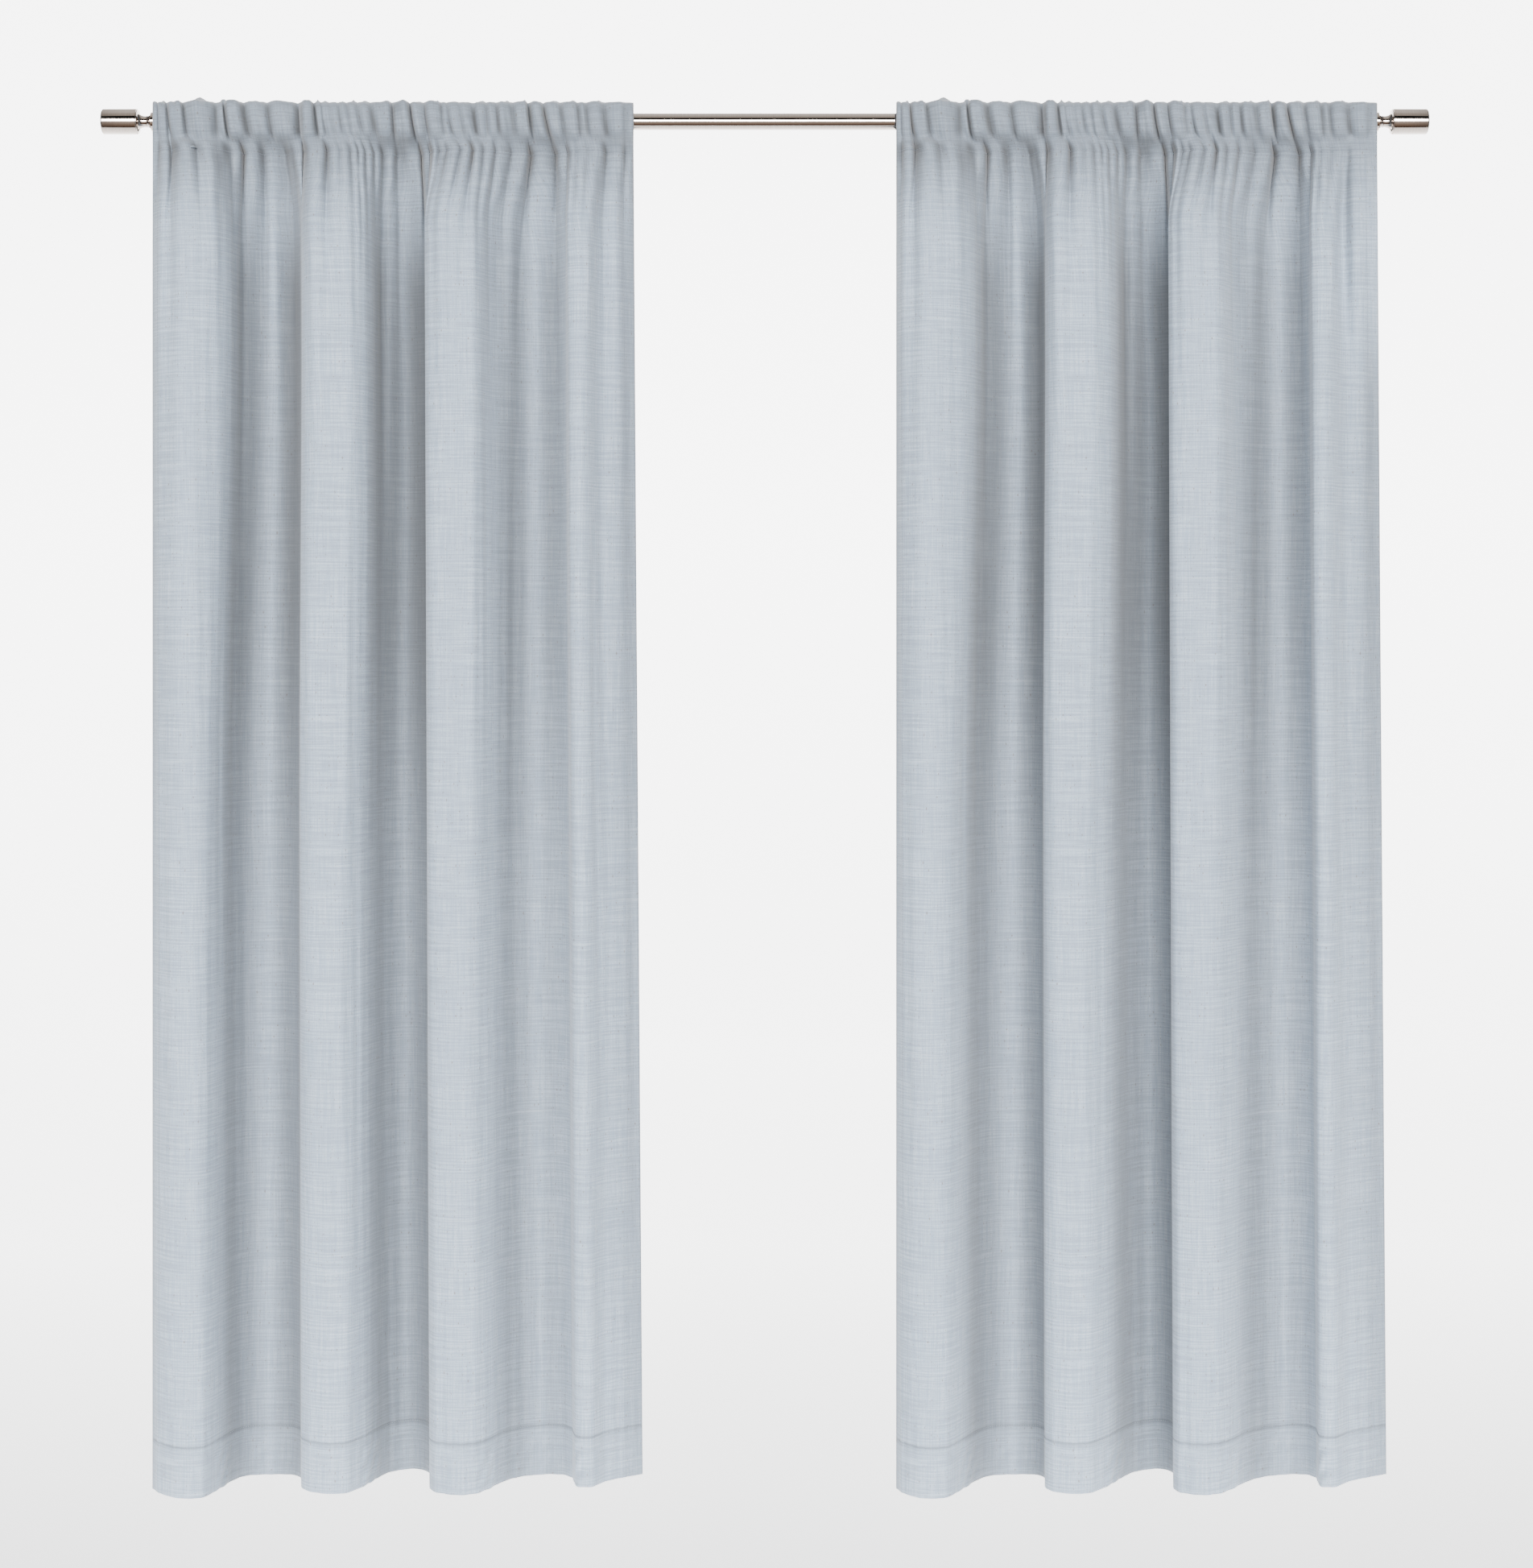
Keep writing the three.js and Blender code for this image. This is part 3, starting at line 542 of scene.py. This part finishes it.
# Rows [across, forward] of the cloth at each height. The great folds are mixed in towards the share
# that makes a row as long as the cloth is wide, so they deepen as the puffs fade. That share stops
# at 1.04 and is smoothed from row to row, so rows can come out shorter than the flat cloth.
def hangRows(below, width):
    samples = 1800
    share = np.linspace(0, 1, samples)
    fold = evenlySpaced(smoothThrough(np.array(curtain["folds"]) / 1000, 4000), samples)
    foldAcross = fold[:, 0] / curtain["hemWidth"]
    small = puffPattern(share, below) + ripplePattern(share, below)

    def rowsAt(mix):
        across = (share + (foldAcross - share) * np.minimum(mix, 1)[:, None]) * width[:, None]
        # higher up, the two folds nearest the left edge stand a little further right
        higher = smoothStep(-below, -1.05, -0.25)[:, None]
        across = across + higher * (0.020 * np.exp(-((across - 0.130) / 0.050) ** 2)
                                    + 0.013 * np.exp(-((across - 0.290) / 0.060) ** 2))
        forward = small + fold[:, 1] * mix[:, None]
        return across, forward

    def lengths(mix):
        across, forward = rowsAt(mix)
        return np.hypot(np.diff(across, axis=1), np.diff(forward, axis=1)).sum(1)

    low, high = np.full(len(below), 0.06), np.full(len(below), 1.12)
    for _ in range(24):
        middle = (low + high) / 2
        short = lengths(middle) < curtain["flatWidth"]
        low, high = np.where(short, middle, low), np.where(short, high, middle)
    mix = np.minimum((low + high) / 2, 1.04)
    smoothing = np.exp(-((below[:, None] - below) / 0.05) ** 2)
    mix = smoothing @ mix / smoothing.sum(1)
    across, forward = rowsAt(mix)
    print("rows of cloth", round(float(lengths(mix).min()), 3), "to", round(float(lengths(mix).max()), 3),
          "m long; folds from", round(float(mix.min()), 2), "to", round(float(mix.max()), 2))
    return across, forward


# Samples every row again at columns the same length apart along the cloth
def spaceColumns(across, forward, columns):
    steps = np.hypot(np.diff(across, axis=1), np.diff(forward, axis=1))
    along = np.concatenate([np.zeros((len(across), 1)), np.cumsum(steps, 1)], 1)
    wanted = np.linspace(0, 1, columns)
    rows = [(np.interp(wanted, s / s[-1], x), np.interp(wanted, s / s[-1], d))
            for s, x, d in zip(along, across, forward)]
    return np.array([r[0] for r in rows]), np.array([r[1] for r in rows])


# Unit normals of a grid of points, from the cross product of its two directions
def gridNormals(points):
    normals = -np.cross(np.gradient(points, axis=1), np.gradient(points, axis=0))
    return normals / np.linalg.norm(normals, axis=2)[..., None]


# The whole panel as a grid of points: rows run from the pocket's back seam up, over the rod, down
# the front to the hem's fold and up inside the hem. Returns points, lengths down and lengths across.
def panelGrid(panelLeft, outerSide):
    c = curtain
    columns, pocketRows = 330, 34
    seam, bottom = c["pocketDepth"], c["drop"]
    hemSeam = bottom - c["hemDepth"]
    front = np.concatenate([
        np.linspace(seam, 0.40, 40, endpoint=False), np.linspace(0.40, hemSeam - 0.012, 44, endpoint=False),
        hemSeam + np.array([-0.012, -0.006, -0.003, 0, 0.003, 0.006, 0.012]),
        np.linspace(hemSeam + 0.020, bottom, 13)])
    below = front - seam
    width = c["topWidth"] + (c["hemWidth"] - c["topWidth"]) * below / (bottom - seam)
    across, forward = spaceColumns(*hangRows(below, width), columns)
    u = np.linspace(0, 1, columns)
    s = u * c["flatWidth"]
    up = np.repeat((c["topRise"] - front)[:, None], columns, 1)

    # pucker along the hem's seam, and the hem's drag creases to the lower right of each front fold
    fromHem = front - hemSeam
    alongSeam = np.sin(2 * math.pi * s / 0.021 + 3 * np.sin(s * 9))
    seamPucker = 0.0007 * np.exp(-(fromHem / 0.016) ** 2)[:, None] * alongSeam
    drag = sum(0.0028 * np.exp(-((s - place) / 0.035) ** 2)
               * np.sin((s + 0.9 * fromHem[:, None] - place) * 190)
               for place in (0.19, 0.60, 0.98, 1.22))
    forward = forward + seamPucker + drag * smoothStep(fromHem, -0.01, 0.03)[:, None]
    # the seam itself is drawn in, and the doubled hem stands a little proud below it
    drawnIn = 0.0009 * np.exp(-(fromHem / 0.003) ** 2)[:, None]
    forward -= drawnIn - 0.0009 * smoothStep(fromHem, 0.002, 0.008)[:, None]
    # fine hand of the cloth: shallow random rucks a few centimetres across
    for _ in range(14):
        ku, kv, phase = random.uniform(60, 260), random.uniform(-9, 9), random.uniform(0, 6.28)
        forward += 0.00022 * np.sin(ku * s[None, :] + kv * front[:, None] + phase)
    # side hems stand proud of the single cloth
    edge = np.minimum(s, c["flatWidth"] - s)
    forward += 0.0007 * (1 - smoothStep(edge, c["sideHem"] - 0.001, c["sideHem"] + 0.002))

    # beyond 58 mm forward the fullest folds flatten off, towards 69 mm
    forward = np.where(forward > 0.058, 0.058 + 0.011 * np.tanh((forward - 0.058) / 0.011), forward)

    # by the panel's outer end the cloth stands forward of the bracket, even with the rod lifted out
    plainSeam = forward[0].copy()
    fromEnd = across if outerSide < 0 else width[:, None] - across
    beside = (1 - smoothStep(fromEnd, 0.034, 0.062)) * (1 - smoothStep(front, 0.10, 0.48))[:, None]
    forward = forward + beside * (np.maximum(forward, c["bracketClear"]) - forward)

    body = np.stack([across, forward, up], -1)

    # hem: the cloth turns under and runs back up behind itself
    flatNormal = np.cross([0, 0, 1], np.gradient(body, axis=1))
    flatNormal /= np.linalg.norm(flatNormal, axis=2)[..., None]
    rise = np.linspace(0.004, c["turnUp"] - 0.004, 9)
    upward = np.interp(bottom - rise, front, np.arange(len(front))).astype(int)
    hemRows = body[upward] + (bottom - rise - front[upward])[:, None, None] * [0, 0, -1]
    hemRows -= flatNormal[upward] * c["layerGap"]
    turn = body[-1:] - flatNormal[-1:] * c["layerGap"] / 2 + [0, 0, -0.0007]
    corner = body[-1:] - flatNormal[-1:] * c["layerGap"] + [0, 0, 0.0006]

    # pocket: the cross-section's loop, with the puffs standing off it
    loop = evenlySpaced(smoothThrough(np.array(c["pocketLoop"]) / 1000, 900), pocketRows)
    tangent = np.gradient(loop, axis=0)
    out = np.stack([-tangent[:, 1], tangent[:, 0]], 1)
    out = out / np.linalg.norm(out, axis=1)[:, None] * -1
    seamAcross, seamForward = across[0], forward[0]
    place = np.linspace(0, 1, pocketRows)
    samples = np.linspace(0, 1, 1800)
    rising = -c["pocketDepth"] * np.sin(place * math.pi)
    puffs = puffPattern(samples, rising)
    seamShare = seamAcross / c["topWidth"]
    puff = np.array([np.interp(seamShare, samples, row) for row in puffs])
    # creases reach in towards the rod, but stay clear of the bracket near the panel's outer end
    fromOuter = u if outerSide < 0 else 1 - u
    deepest = np.where(fromOuter < 0.07, 0.0003, -0.0030)
    puff = np.maximum(puff + 0.003, deepest)
    ears = 0.010 * np.exp(-((seamAcross - 0.082) / 0.007) ** 2)
    ears = ears + 0.009 * np.exp(-((seamAcross - 0.123) / 0.006) ** 2)
    # small pinched peaks along the top fold, one by each crease
    pinches = np.cumsum(c["puffs"])[:-1] / np.sum(c["puffs"]) * c["topWidth"] - 0.006
    peakHeights = np.random.default_rng(5).uniform(0.0008, 0.0066, len(pinches))
    peaks = (peakHeights * np.exp(-np.abs(seamAcross[:, None] - pinches) / 0.0036)).sum(1)
    ears = ears + peaks
    # how far puffs stand out: full at the rod's height, small at the top fold, and at the seam both
    # layers take the front cloth's own shape
    atRod = smoothStep(place, 0.02, 0.22) * (1 - 0.88 * smoothStep(place, 0.36, 0.49))
    behind = place > 0.5
    atRod = np.where(behind, 0.12 + 0.64 * smoothStep(place, 0.51, 0.64), atRod)
    joined = np.where(behind, smoothStep(place, 0.80, 1.0), 1 - smoothStep(place, 0.0, 0.2))
    stand = atRod * (1 - joined)
    # the creases lean to the right on their way down the pocket, and sway a little
    sway = 0.0042 * np.sin(seamShare * 31 + 1.0) + 0.003 * np.sin(seamShare * 67 + 2.0)
    lean = -0.17 * rising[:, None] + sway * np.sin(place * math.pi)[:, None]
    fromEdge = np.minimum(seamAcross, seamAcross[-1] - seamAcross)
    rows = np.zeros((pocketRows, columns, 3))
    rows[..., 0] = seamAcross - lean * smoothStep(fromEdge, 0.0, 0.045)
    seamDepth = np.where(behind[:, None], plainSeam, seamForward)
    rows[..., 1] = loop[:, :1] + out[:, :1] * stand[:, None] * puff + joined[:, None] * seamDepth
    besideSeam = beside[0] * (1 - smoothStep(place, 0.30, 0.40))[:, None]
    rows[..., 1] += besideSeam * (np.maximum(rows[..., 1], c["bracketClear"]) - rows[..., 1])
    rows[..., 2] = loop[:, 1:] + out[:, 1:] * stand[:, None] * puff
    rows[..., 2] += (np.exp(-((place - 0.54) / 0.05) ** 2))[:, None] * ears
    rows[..., 1] -= (behind * joined)[:, None] * (c["layerGap"] + 0.0006)
    # the back layer is gathered in from the open end, clear of the bracket
    inset = c["openPocketEnd"] * np.clip(1 - fromOuter / 0.10, 0, 1) * -outerSide
    rows[..., 0] += smoothStep(place, 0.52, 0.64)[:, None] * inset
    pocket = rows[::-1][:-1]

    grid = np.concatenate([pocket, body, turn, corner, hemRows[1:]])
    # drawn in a little as it comes forward, so that edges that hang plumb look plumb from the front
    x = (panelLeft + grid[..., 0]) * (1 - grid[..., 1] / c["viewDistance"])
    points = np.stack([x, rodY - grid[..., 1], grid[..., 2]], -1)
    alongDown = np.concatenate([[0], np.cumsum(np.linalg.norm(np.diff(points, axis=0), axis=2).mean(1))])
    seamRow = len(pocket)
    bottomRow = seamRow + len(body) - 1
    down = np.concatenate([alongDown[:seamRow] - alongDown[seamRow] + seam, front,
                           alongDown[bottomRow + 1:] - alongDown[bottomRow] + bottom])
    return points, down, s, seamRow, bottomRow


# Painted shade for each point, 0 to 1, mixed into the cloth's colour where shade falls in folds and creases.
# In front: 0.85 times a smooth step of its depth behind the most forward cloth within 26 columns either side
# (about 108 mm of cloth), as a share of its row's deepest, and the painted shade of the gathered pocket and
# its creases, by depth behind the cloth beside
# them. Behind: its depth in front of the most rearward cloth within the same columns.
def foldShade(points, down):
    forward = rodY - points[..., 1]
    reach = 26
    padded = np.pad(forward, ((0, 0), (reach, reach)), mode="edge")
    windows = [padded[:, shift:shift + forward.shape[1]] for shift in range(0, 2 * reach + 1, 2)]
    paintedBackShade = smoothStep(forward - np.min(windows, axis=0), 0.03, 0.13)
    depth = np.max(windows, axis=0) - forward
    deepest = np.maximum(depth.max(axis=1), 0.03)[:, None]
    lower = smoothStep(down, 0.75, 1.25)[:, None]
    inside = 0.85 * smoothStep(depth / deepest, 0.3, 1.0) * (1 - 0.2 * lower)
    inside = inside * smoothStep(down, 0.03, 0.3)[:, None]
    near = np.max([padded[:, shift:shift + forward.shape[1]] for shift in range(reach - 3, reach + 4)],
                  axis=0)
    # painted shade over the gathered pocket and just below it: half shade everywhere there, and more in its
    # creases
    gathers = np.exp(-(np.maximum(down - 0.07, 0) / 0.085) ** 1.4)[:, None]
    paintedCreaseShade = gathers * (0.5 + 0.42 * smoothStep(near - forward, 0.0015, 0.014))
    # painted shade: a fine dark line along the hem's seam, and the painted fold shade 14% weaker on the hem
    # band below it, so the band looks lighter
    fromHem = down - (curtain["drop"] - curtain["hemDepth"])
    paintedCreaseShade = paintedCreaseShade + (0.4 * np.exp(-(fromHem / 0.0028) ** 2))[:, None]
    inside = inside * (1 - 0.14 * smoothStep(fromHem, 0, 0.006))[:, None]
    return np.clip(inside + paintedCreaseShade * (1 - inside), 0, 1), paintedBackShade + paintedCreaseShade * (1 - paintedBackShade)


# Writes the painted shade of the sheet's two faces as an attribute that its material mixes into the colour
def paintShadeOnCloth(piece, points, down):
    shades = np.concatenate([shade.ravel() for shade in foldShade(points, down)])
    piece.data.attributes.new("foldShade", "FLOAT", "POINT").data.foreach_set("value", shades)


# Closed sheet: two grids half the thickness either side of the points, joined round their rim
def sheetMesh(name, points, down, across, material):
    rows, columns = points.shape[:2]
    normals = gridNormals(points)
    half = curtain["thickness"] / 2
    vertices = np.concatenate([(points + normals * half).reshape(-1, 3),
                               (points - normals * half).reshape(-1, 3)])
    faces = gridFaces(rows, columns)
    backFaces = faces[:, [0, 3, 2, 1]] + rows * columns
    rim = np.concatenate([np.arange(columns), np.arange(1, rows) * columns + columns - 1,
                          (rows - 1) * columns + np.arange(columns - 2, -1, -1),
                           np.arange(rows - 2, 0, -1) * columns])
    following = np.roll(rim, -1)
    rimFaces = np.stack([following, rim, rim + rows * columns, following + rows * columns], 1)
    uv = np.stack(np.broadcast_arrays(across[None, :], -down[:, None]), -1).reshape(-1, 2)
    piece = addMesh(name, vertices, np.concatenate([faces, backFaces, rimFaces]), material,
                    np.concatenate([uv, uv]))
    outward(piece)
    return piece


# Places on the cloth by bilinear steps between grid rows and columns
def onCloth(points, row, column):
    r, c = np.clip(row, 0, len(points) - 1.001), np.clip(column, 0, points.shape[1] - 1.001)
    i, j = r.astype(int), c.astype(int)
    fr, fc = (r - i)[:, None], (c - j)[:, None]
    return ((points[i, j] * (1 - fc) + points[i, j + 1] * fc) * (1 - fr)
            + (points[i + 1, j] * (1 - fc) + points[i + 1, j + 1] * fc) * fr)


# Stitches: one small rounded bead each, its ends dipping into the cloth.
# A bead is an ellipsoid: along cos(b), across and out sin(b) times cos and sin of a.
def stitchMesh(name, points, normals, startRow, startColumn, endRow, endColumn):
    size = {"length": 0.0030, "gap": 0.0009, "radius": 0.0004}
    fine = np.linspace(0, 1, 4000)
    path = onCloth(points, startRow + (endRow - startRow) * fine,
                   startColumn + (endColumn - startColumn) * fine)
    along = lengthAlong(path)
    pitch = size["length"] + size["gap"]
    count = int(along[-1] / pitch)
    middles = (np.arange(count) + 0.5) * along[-1] / count

    def placeAt(length):
        f = np.interp(length, along, fine)
        row, column = startRow + (endRow - startRow) * f, startColumn + (endColumn - startColumn) * f
        return onCloth(points, row, column), onCloth(normals, row, column)

    centre, out = placeAt(middles)
    ahead = placeAt(middles + size["length"] / 2)[0] - placeAt(middles - size["length"] / 2)[0]
    ahead /= np.linalg.norm(ahead, axis=1)[:, None]
    out -= ahead * (out * ahead).sum(1)[:, None]
    out /= np.linalg.norm(out, axis=1)[:, None]
    cross = np.cross(ahead, out)
    b = np.linspace(0, math.pi, 6)[1:-1]
    a = np.linspace(0, 2 * math.pi, 6, endpoint=False)
    ring = np.stack([np.repeat(np.cos(b)[:, None], 6, 1), np.sin(b)[:, None] * np.cos(a),
                     np.sin(b)[:, None] * np.sin(a)], -1)
    template = np.vstack([ring.reshape(-1, 3), [[1, 0, 0], [-1, 0, 0]]])
    scale = np.array([size["length"] / 2, size["radius"], size["radius"]])
    lifted = centre + out * (curtain["thickness"] / 2 + size["radius"] * 0.55)
    local = template * scale
    vertices = (lifted[:, None] + local[None, :, :1] * ahead[:, None] + local[None, :, 1:2] * cross[:, None]
                + local[None, :, 2:] * out[:, None])
    rings = len(b)
    quads = gridFaces(rings, 6, wrap=True)
    around = np.arange(6)
    following = (around + 1) % 6
    caps = np.concatenate([np.stack([np.full(6, rings * 6), following, around], 1),
                           np.stack([np.full(6, rings * 6 + 1), (rings - 1) * 6 + around,
                                     (rings - 1) * 6 + following], 1)])
    steps = np.arange(count) * len(template)
    allQuads = (quads[None] + steps[:, None, None]).reshape(-1, 4).tolist()
    allCaps = (caps[None] + steps[:, None, None]).reshape(-1, 3).tolist()
    piece = addMesh(name, vertices.reshape(-1, 3), allQuads + allCaps, thread)
    outward(piece)
    return piece


def makePanel(prefix, panelLeft, outerSide):
    points, down, across, seamRow, bottomRow = panelGrid(panelLeft, outerSide)
    cloth = sheetMesh(prefix + "_linen_panel", points, down, across, linen)
    paintShadeOnCloth(cloth, points, down)
    normals = gridNormals(points)
    columns = points.shape[1]
    lastColumn = columns - 1
    hemDown = curtain["drop"] - curtain["hemDepth"]
    frontRows = np.arange(seamRow, bottomRow + 1)
    hemRow = float(np.interp(hemDown, down[frontRows], frontRows))
    hemColumn = curtain["sideHem"] / curtain["flatWidth"] * lastColumn
    outerColumn = hemColumn if outerSide < 0 else lastColumn - hemColumn
    innerColumn = lastColumn - outerColumn
    seams = {
        "pocket": (seamRow + 0.05, 0.6, seamRow + 0.05, lastColumn - 0.6),
        "hem": (hemRow, 0.6, hemRow, lastColumn - 0.6),
        "outer_side": (seamRow + 1, outerColumn, hemRow - 0.8, outerColumn),
        "inner_side": (seamRow + 1, innerColumn, hemRow - 0.8, innerColumn),
    }
    stitching = []
    for where, ends in seams.items():
        piece = stitchMesh(f"{prefix}_{where}_stitches", points, normals, *ends)
        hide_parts(f"{prefix}_{where}_stitching")
        stitching.append(piece)
    label = makeLabel(prefix, points, normals, hemRow, outerSide)
    for piece in [cloth, *stitching, label]:
        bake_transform(piece)
    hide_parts(*[f"{prefix}_panel_fold_{n}{half}" for n in (1, 2, 3, 4) for half in "ab"])
    print(prefix, "panel made,", len(cloth.data.polygons), "faces")


# A blank folded label sewn behind the hem seam near the outer edge, curving with the cloth
def makeLabel(prefix, points, normals, hemRow, outerSide):
    wide, long, thick = 0.030, 0.046, 0.0005
    columns = points.shape[1]
    share = 0.05 if outerSide < 0 else 0.95
    middle = share * (columns - 1)
    spread = wide / curtain["flatWidth"] * (columns - 1) / 2
    c = np.linspace(middle - spread, middle + spread, 13)
    hang = np.linspace(0, 1, 15)
    top = onCloth(points, np.full(13, hemRow - 0.3), c)
    out = onCloth(normals, np.full(13, hemRow - 0.3), c)
    clear = curtain["layerGap"] + curtain["thickness"] + 0.0009
    sway = 0.0016 * np.sin(hang * 2.4)[:, None, None]
    grid = top[None] - out[None] * (clear + sway) + np.array([0, 0, -1]) * (hang * long)[:, None, None]
    n = gridNormals(grid)
    vertices = np.concatenate([(grid + n * thick / 2).reshape(-1, 3), (grid - n * thick / 2).reshape(-1, 3)])
    rows, cols = 15, 13
    faces = gridFaces(rows, cols)
    rim = np.concatenate([np.arange(cols), np.arange(1, rows) * cols + cols - 1,
                          (rows - 1) * cols + np.arange(cols - 2, -1, -1), np.arange(rows - 2, 0, -1) * cols])
    following = np.roll(rim, -1)
    rimFaces = np.stack([following, rim, rim + rows * cols, following + rows * cols], 1)
    piece = addMesh(prefix + "_blank_label", vertices,
                    np.concatenate([faces, faces[:, ::-1] + rows * cols, rimFaces]),
                    labelSatin)
    outward(piece)
    sharpEdges(piece, 50)
    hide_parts(prefix + "_care_label")
    return piece


leftEdge = -rodSizes["half"] - curtain["panelReach"]
makePanel("left", leftEdge, -1)
random = np.random.default_rng(7)
makePanel("right", -leftEdge - curtain["topWidth"], 1)


studio = {
    "floor": -2.30, "front": -1.21, "backdrop": 7.6, "sweep": 2.0, "wide": 10.0,
    "paper": "#cfcfcf", "glow": 4.2, "sides": 0.12,
    # [degrees above the horizon, brightness, colour] round the X axis, as a satin rod mirrors them
    "bands": [(-90, 0.7, "#f4f2f0"), (-80, 0.6, "#efe6e0"), (-66, 0.10, "#9a7c62"), (-60, 0.16, "#a88a70"),
              (-45, 0.42, "#cdb09a"), (-20, 0.75, "#e4d3c6"), (-6, 1.2, "#efe6de"), (-2, 37.0, "#ffffff"),
              (13, 37.0, "#ffffff"), (16, 0.05, "#30302e"), (43, 0.05, "#30302e"), (47, 0.75, "#e6dfd6"),
              (56, 0.9, "#ece6de"), (60, 0.3, "#a89c90"), (64, 0.9, "#efe9e2"), (90, 1.1, "#f6f3ef")],
}


# Paper sweep: flat floor, a quarter circle, then upright
def makeSweep():
    paper, tree, shader = newMaterial("white_sweep_paper", Roughness=0.95)
    shader.inputs["Base Color"].default_value = hexColour(studio["paper"])
    shader.inputs["Emission Strength"].default_value = studio["glow"]
    # painted light: the paper glows by its own emission, strongest far back and fading out towards the
    # curtain
    where = addNode(tree, "ShaderNodeSeparateXYZ",
                    {"Vector": addNode(tree, "ShaderNodeTexCoord").outputs["Object"]})
    far = addNode(tree, "ShaderNodeMapRange", {"Value": where.outputs["Y"], "From Min": -1.0, "From Max": 2.4,
                                               "To Min": 0.25})
    tree.links.new(ramp(tree, far.outputs[0], [(0, grey(0)), (1, grey(1))]), shader.inputs["Emission Color"])
    bend = np.linspace(0, math.pi / 2, 24)
    y = studio["backdrop"] - studio["sweep"] + studio["sweep"] * np.sin(bend)
    z = studio["floor"] + studio["sweep"] * (1 - np.cos(bend))
    line = np.vstack([[[studio["front"], studio["floor"]]], np.stack([y, z], 1), [[studio["backdrop"], 6.0]]])
    x = np.linspace(-studio["wide"] / 2, studio["wide"] / 2, 9)
    vertices = np.stack(np.broadcast_arrays(x[None, :], line[:, :1], line[:, 1:]), -1).reshape(-1, 3)
    sweep = addMesh("white_paper_sweep", vertices, gridFaces(len(line), len(x)), paper)


# World: brightness depends only on the angle round the X axis, atan2(z, -y), so every horizontal
# cylinder mirrors the same lengthwise bands; the half behind the rod is plain
def makeWorld():
    world = bpy.data.worlds.new("studio_bands")
    bpy.context.scene.world = world
    world.use_nodes = True
    tree = world.node_tree
    tree.nodes.clear()
    direction = addNode(tree, "ShaderNodeTexCoord").outputs["Generated"]
    parts = addNode(tree, "ShaderNodeSeparateXYZ", {"Vector": direction})
    forward = addNode(tree, "ShaderNodeMath", {0: parts.outputs["Y"], 1: -1.0}, operation="MULTIPLY")
    angle = addNode(tree, "ShaderNodeMath", {0: parts.outputs["Z"], 1: forward.outputs[0]},
                    operation="ARCTAN2")
    # -90..90 degrees in front map to 0..1; what lies behind clamps to the end bands
    place = addNode(tree, "ShaderNodeMapRange", {"Value": angle.outputs[0], "From Min": -math.pi / 2,
                                                 "From Max": math.pi / 2})
    strongest = max(b[1] for b in studio["bands"])
    stops = []
    for degrees, brightness, colour in studio["bands"]:
        tone = [c * brightness / strongest for c in hexColour(colour)[:3]]
        stops.append(((degrees + 90) / 180, (*tone, 1)))
    bands = ramp(tree, place.outputs[0], stops)
    # towards either end of the rod the bands give way to plain grey
    sideways = addNode(tree, "ShaderNodeMath", {0: parts.outputs["X"]}, operation="ABSOLUTE")
    plain = addNode(tree, "ShaderNodeMapRange",
                    {"Value": sideways.outputs[0], "From Min": 0.22, "From Max": 0.62})
    tone = mixColour(tree, plain.outputs[0], bands, grey(studio["sides"] / strongest))
    background = addNode(tree, "ShaderNodeBackground", {"Color": tone, "Strength": strongest})
    addNode(tree, "ShaderNodeOutputWorld", {"Surface": background.outputs[0]})


# One soft box that lights the cloth from the front left
def makeLights():
    for name, place, size, power in (
        ("front_left_softbox", (-2.6, -4.6, 0.6), 2.6, 30),
    ):
        data = bpy.data.lights.new(name, "AREA")
        data.shape = "SQUARE"
        data.size = size
        data.energy = power
        lamp = bpy.data.objects.new(name, data)
        lamp.location = place
        aim = np.array([0, -0.1, -1.0]) - np.array(place)
        flat = math.hypot(aim[0], aim[1])
        lamp.rotation_euler = (math.atan2(flat, -aim[2]), 0, math.atan2(-aim[0], aim[1]))
        lamp.visible_glossy = False
        bpy.context.scene.collection.objects.link(lamp)


def makeCamera():
    high = 2.422  # metres of the rod's plane that the picture shows from top to bottom
    data = bpy.data.cameras.new("camera")
    data.sensor_width = 36
    data.lens = 36 * curtain["viewDistance"] / high
    data.shift_x = 0.0025 / high
    data.shift_y = (-1.023 + 0.795) / high
    data.clip_end = 60
    camera = bpy.data.objects.new("camera", data)
    camera.location = (0, rodY - curtain["viewDistance"], -0.795)
    camera.rotation_euler = (math.radians(90), 0, 0)
    bpy.context.scene.collection.objects.link(camera)
    bpy.context.scene.camera = camera


makeSweep()
makeWorld()
makeLights()
makeCamera()
print("studio made")
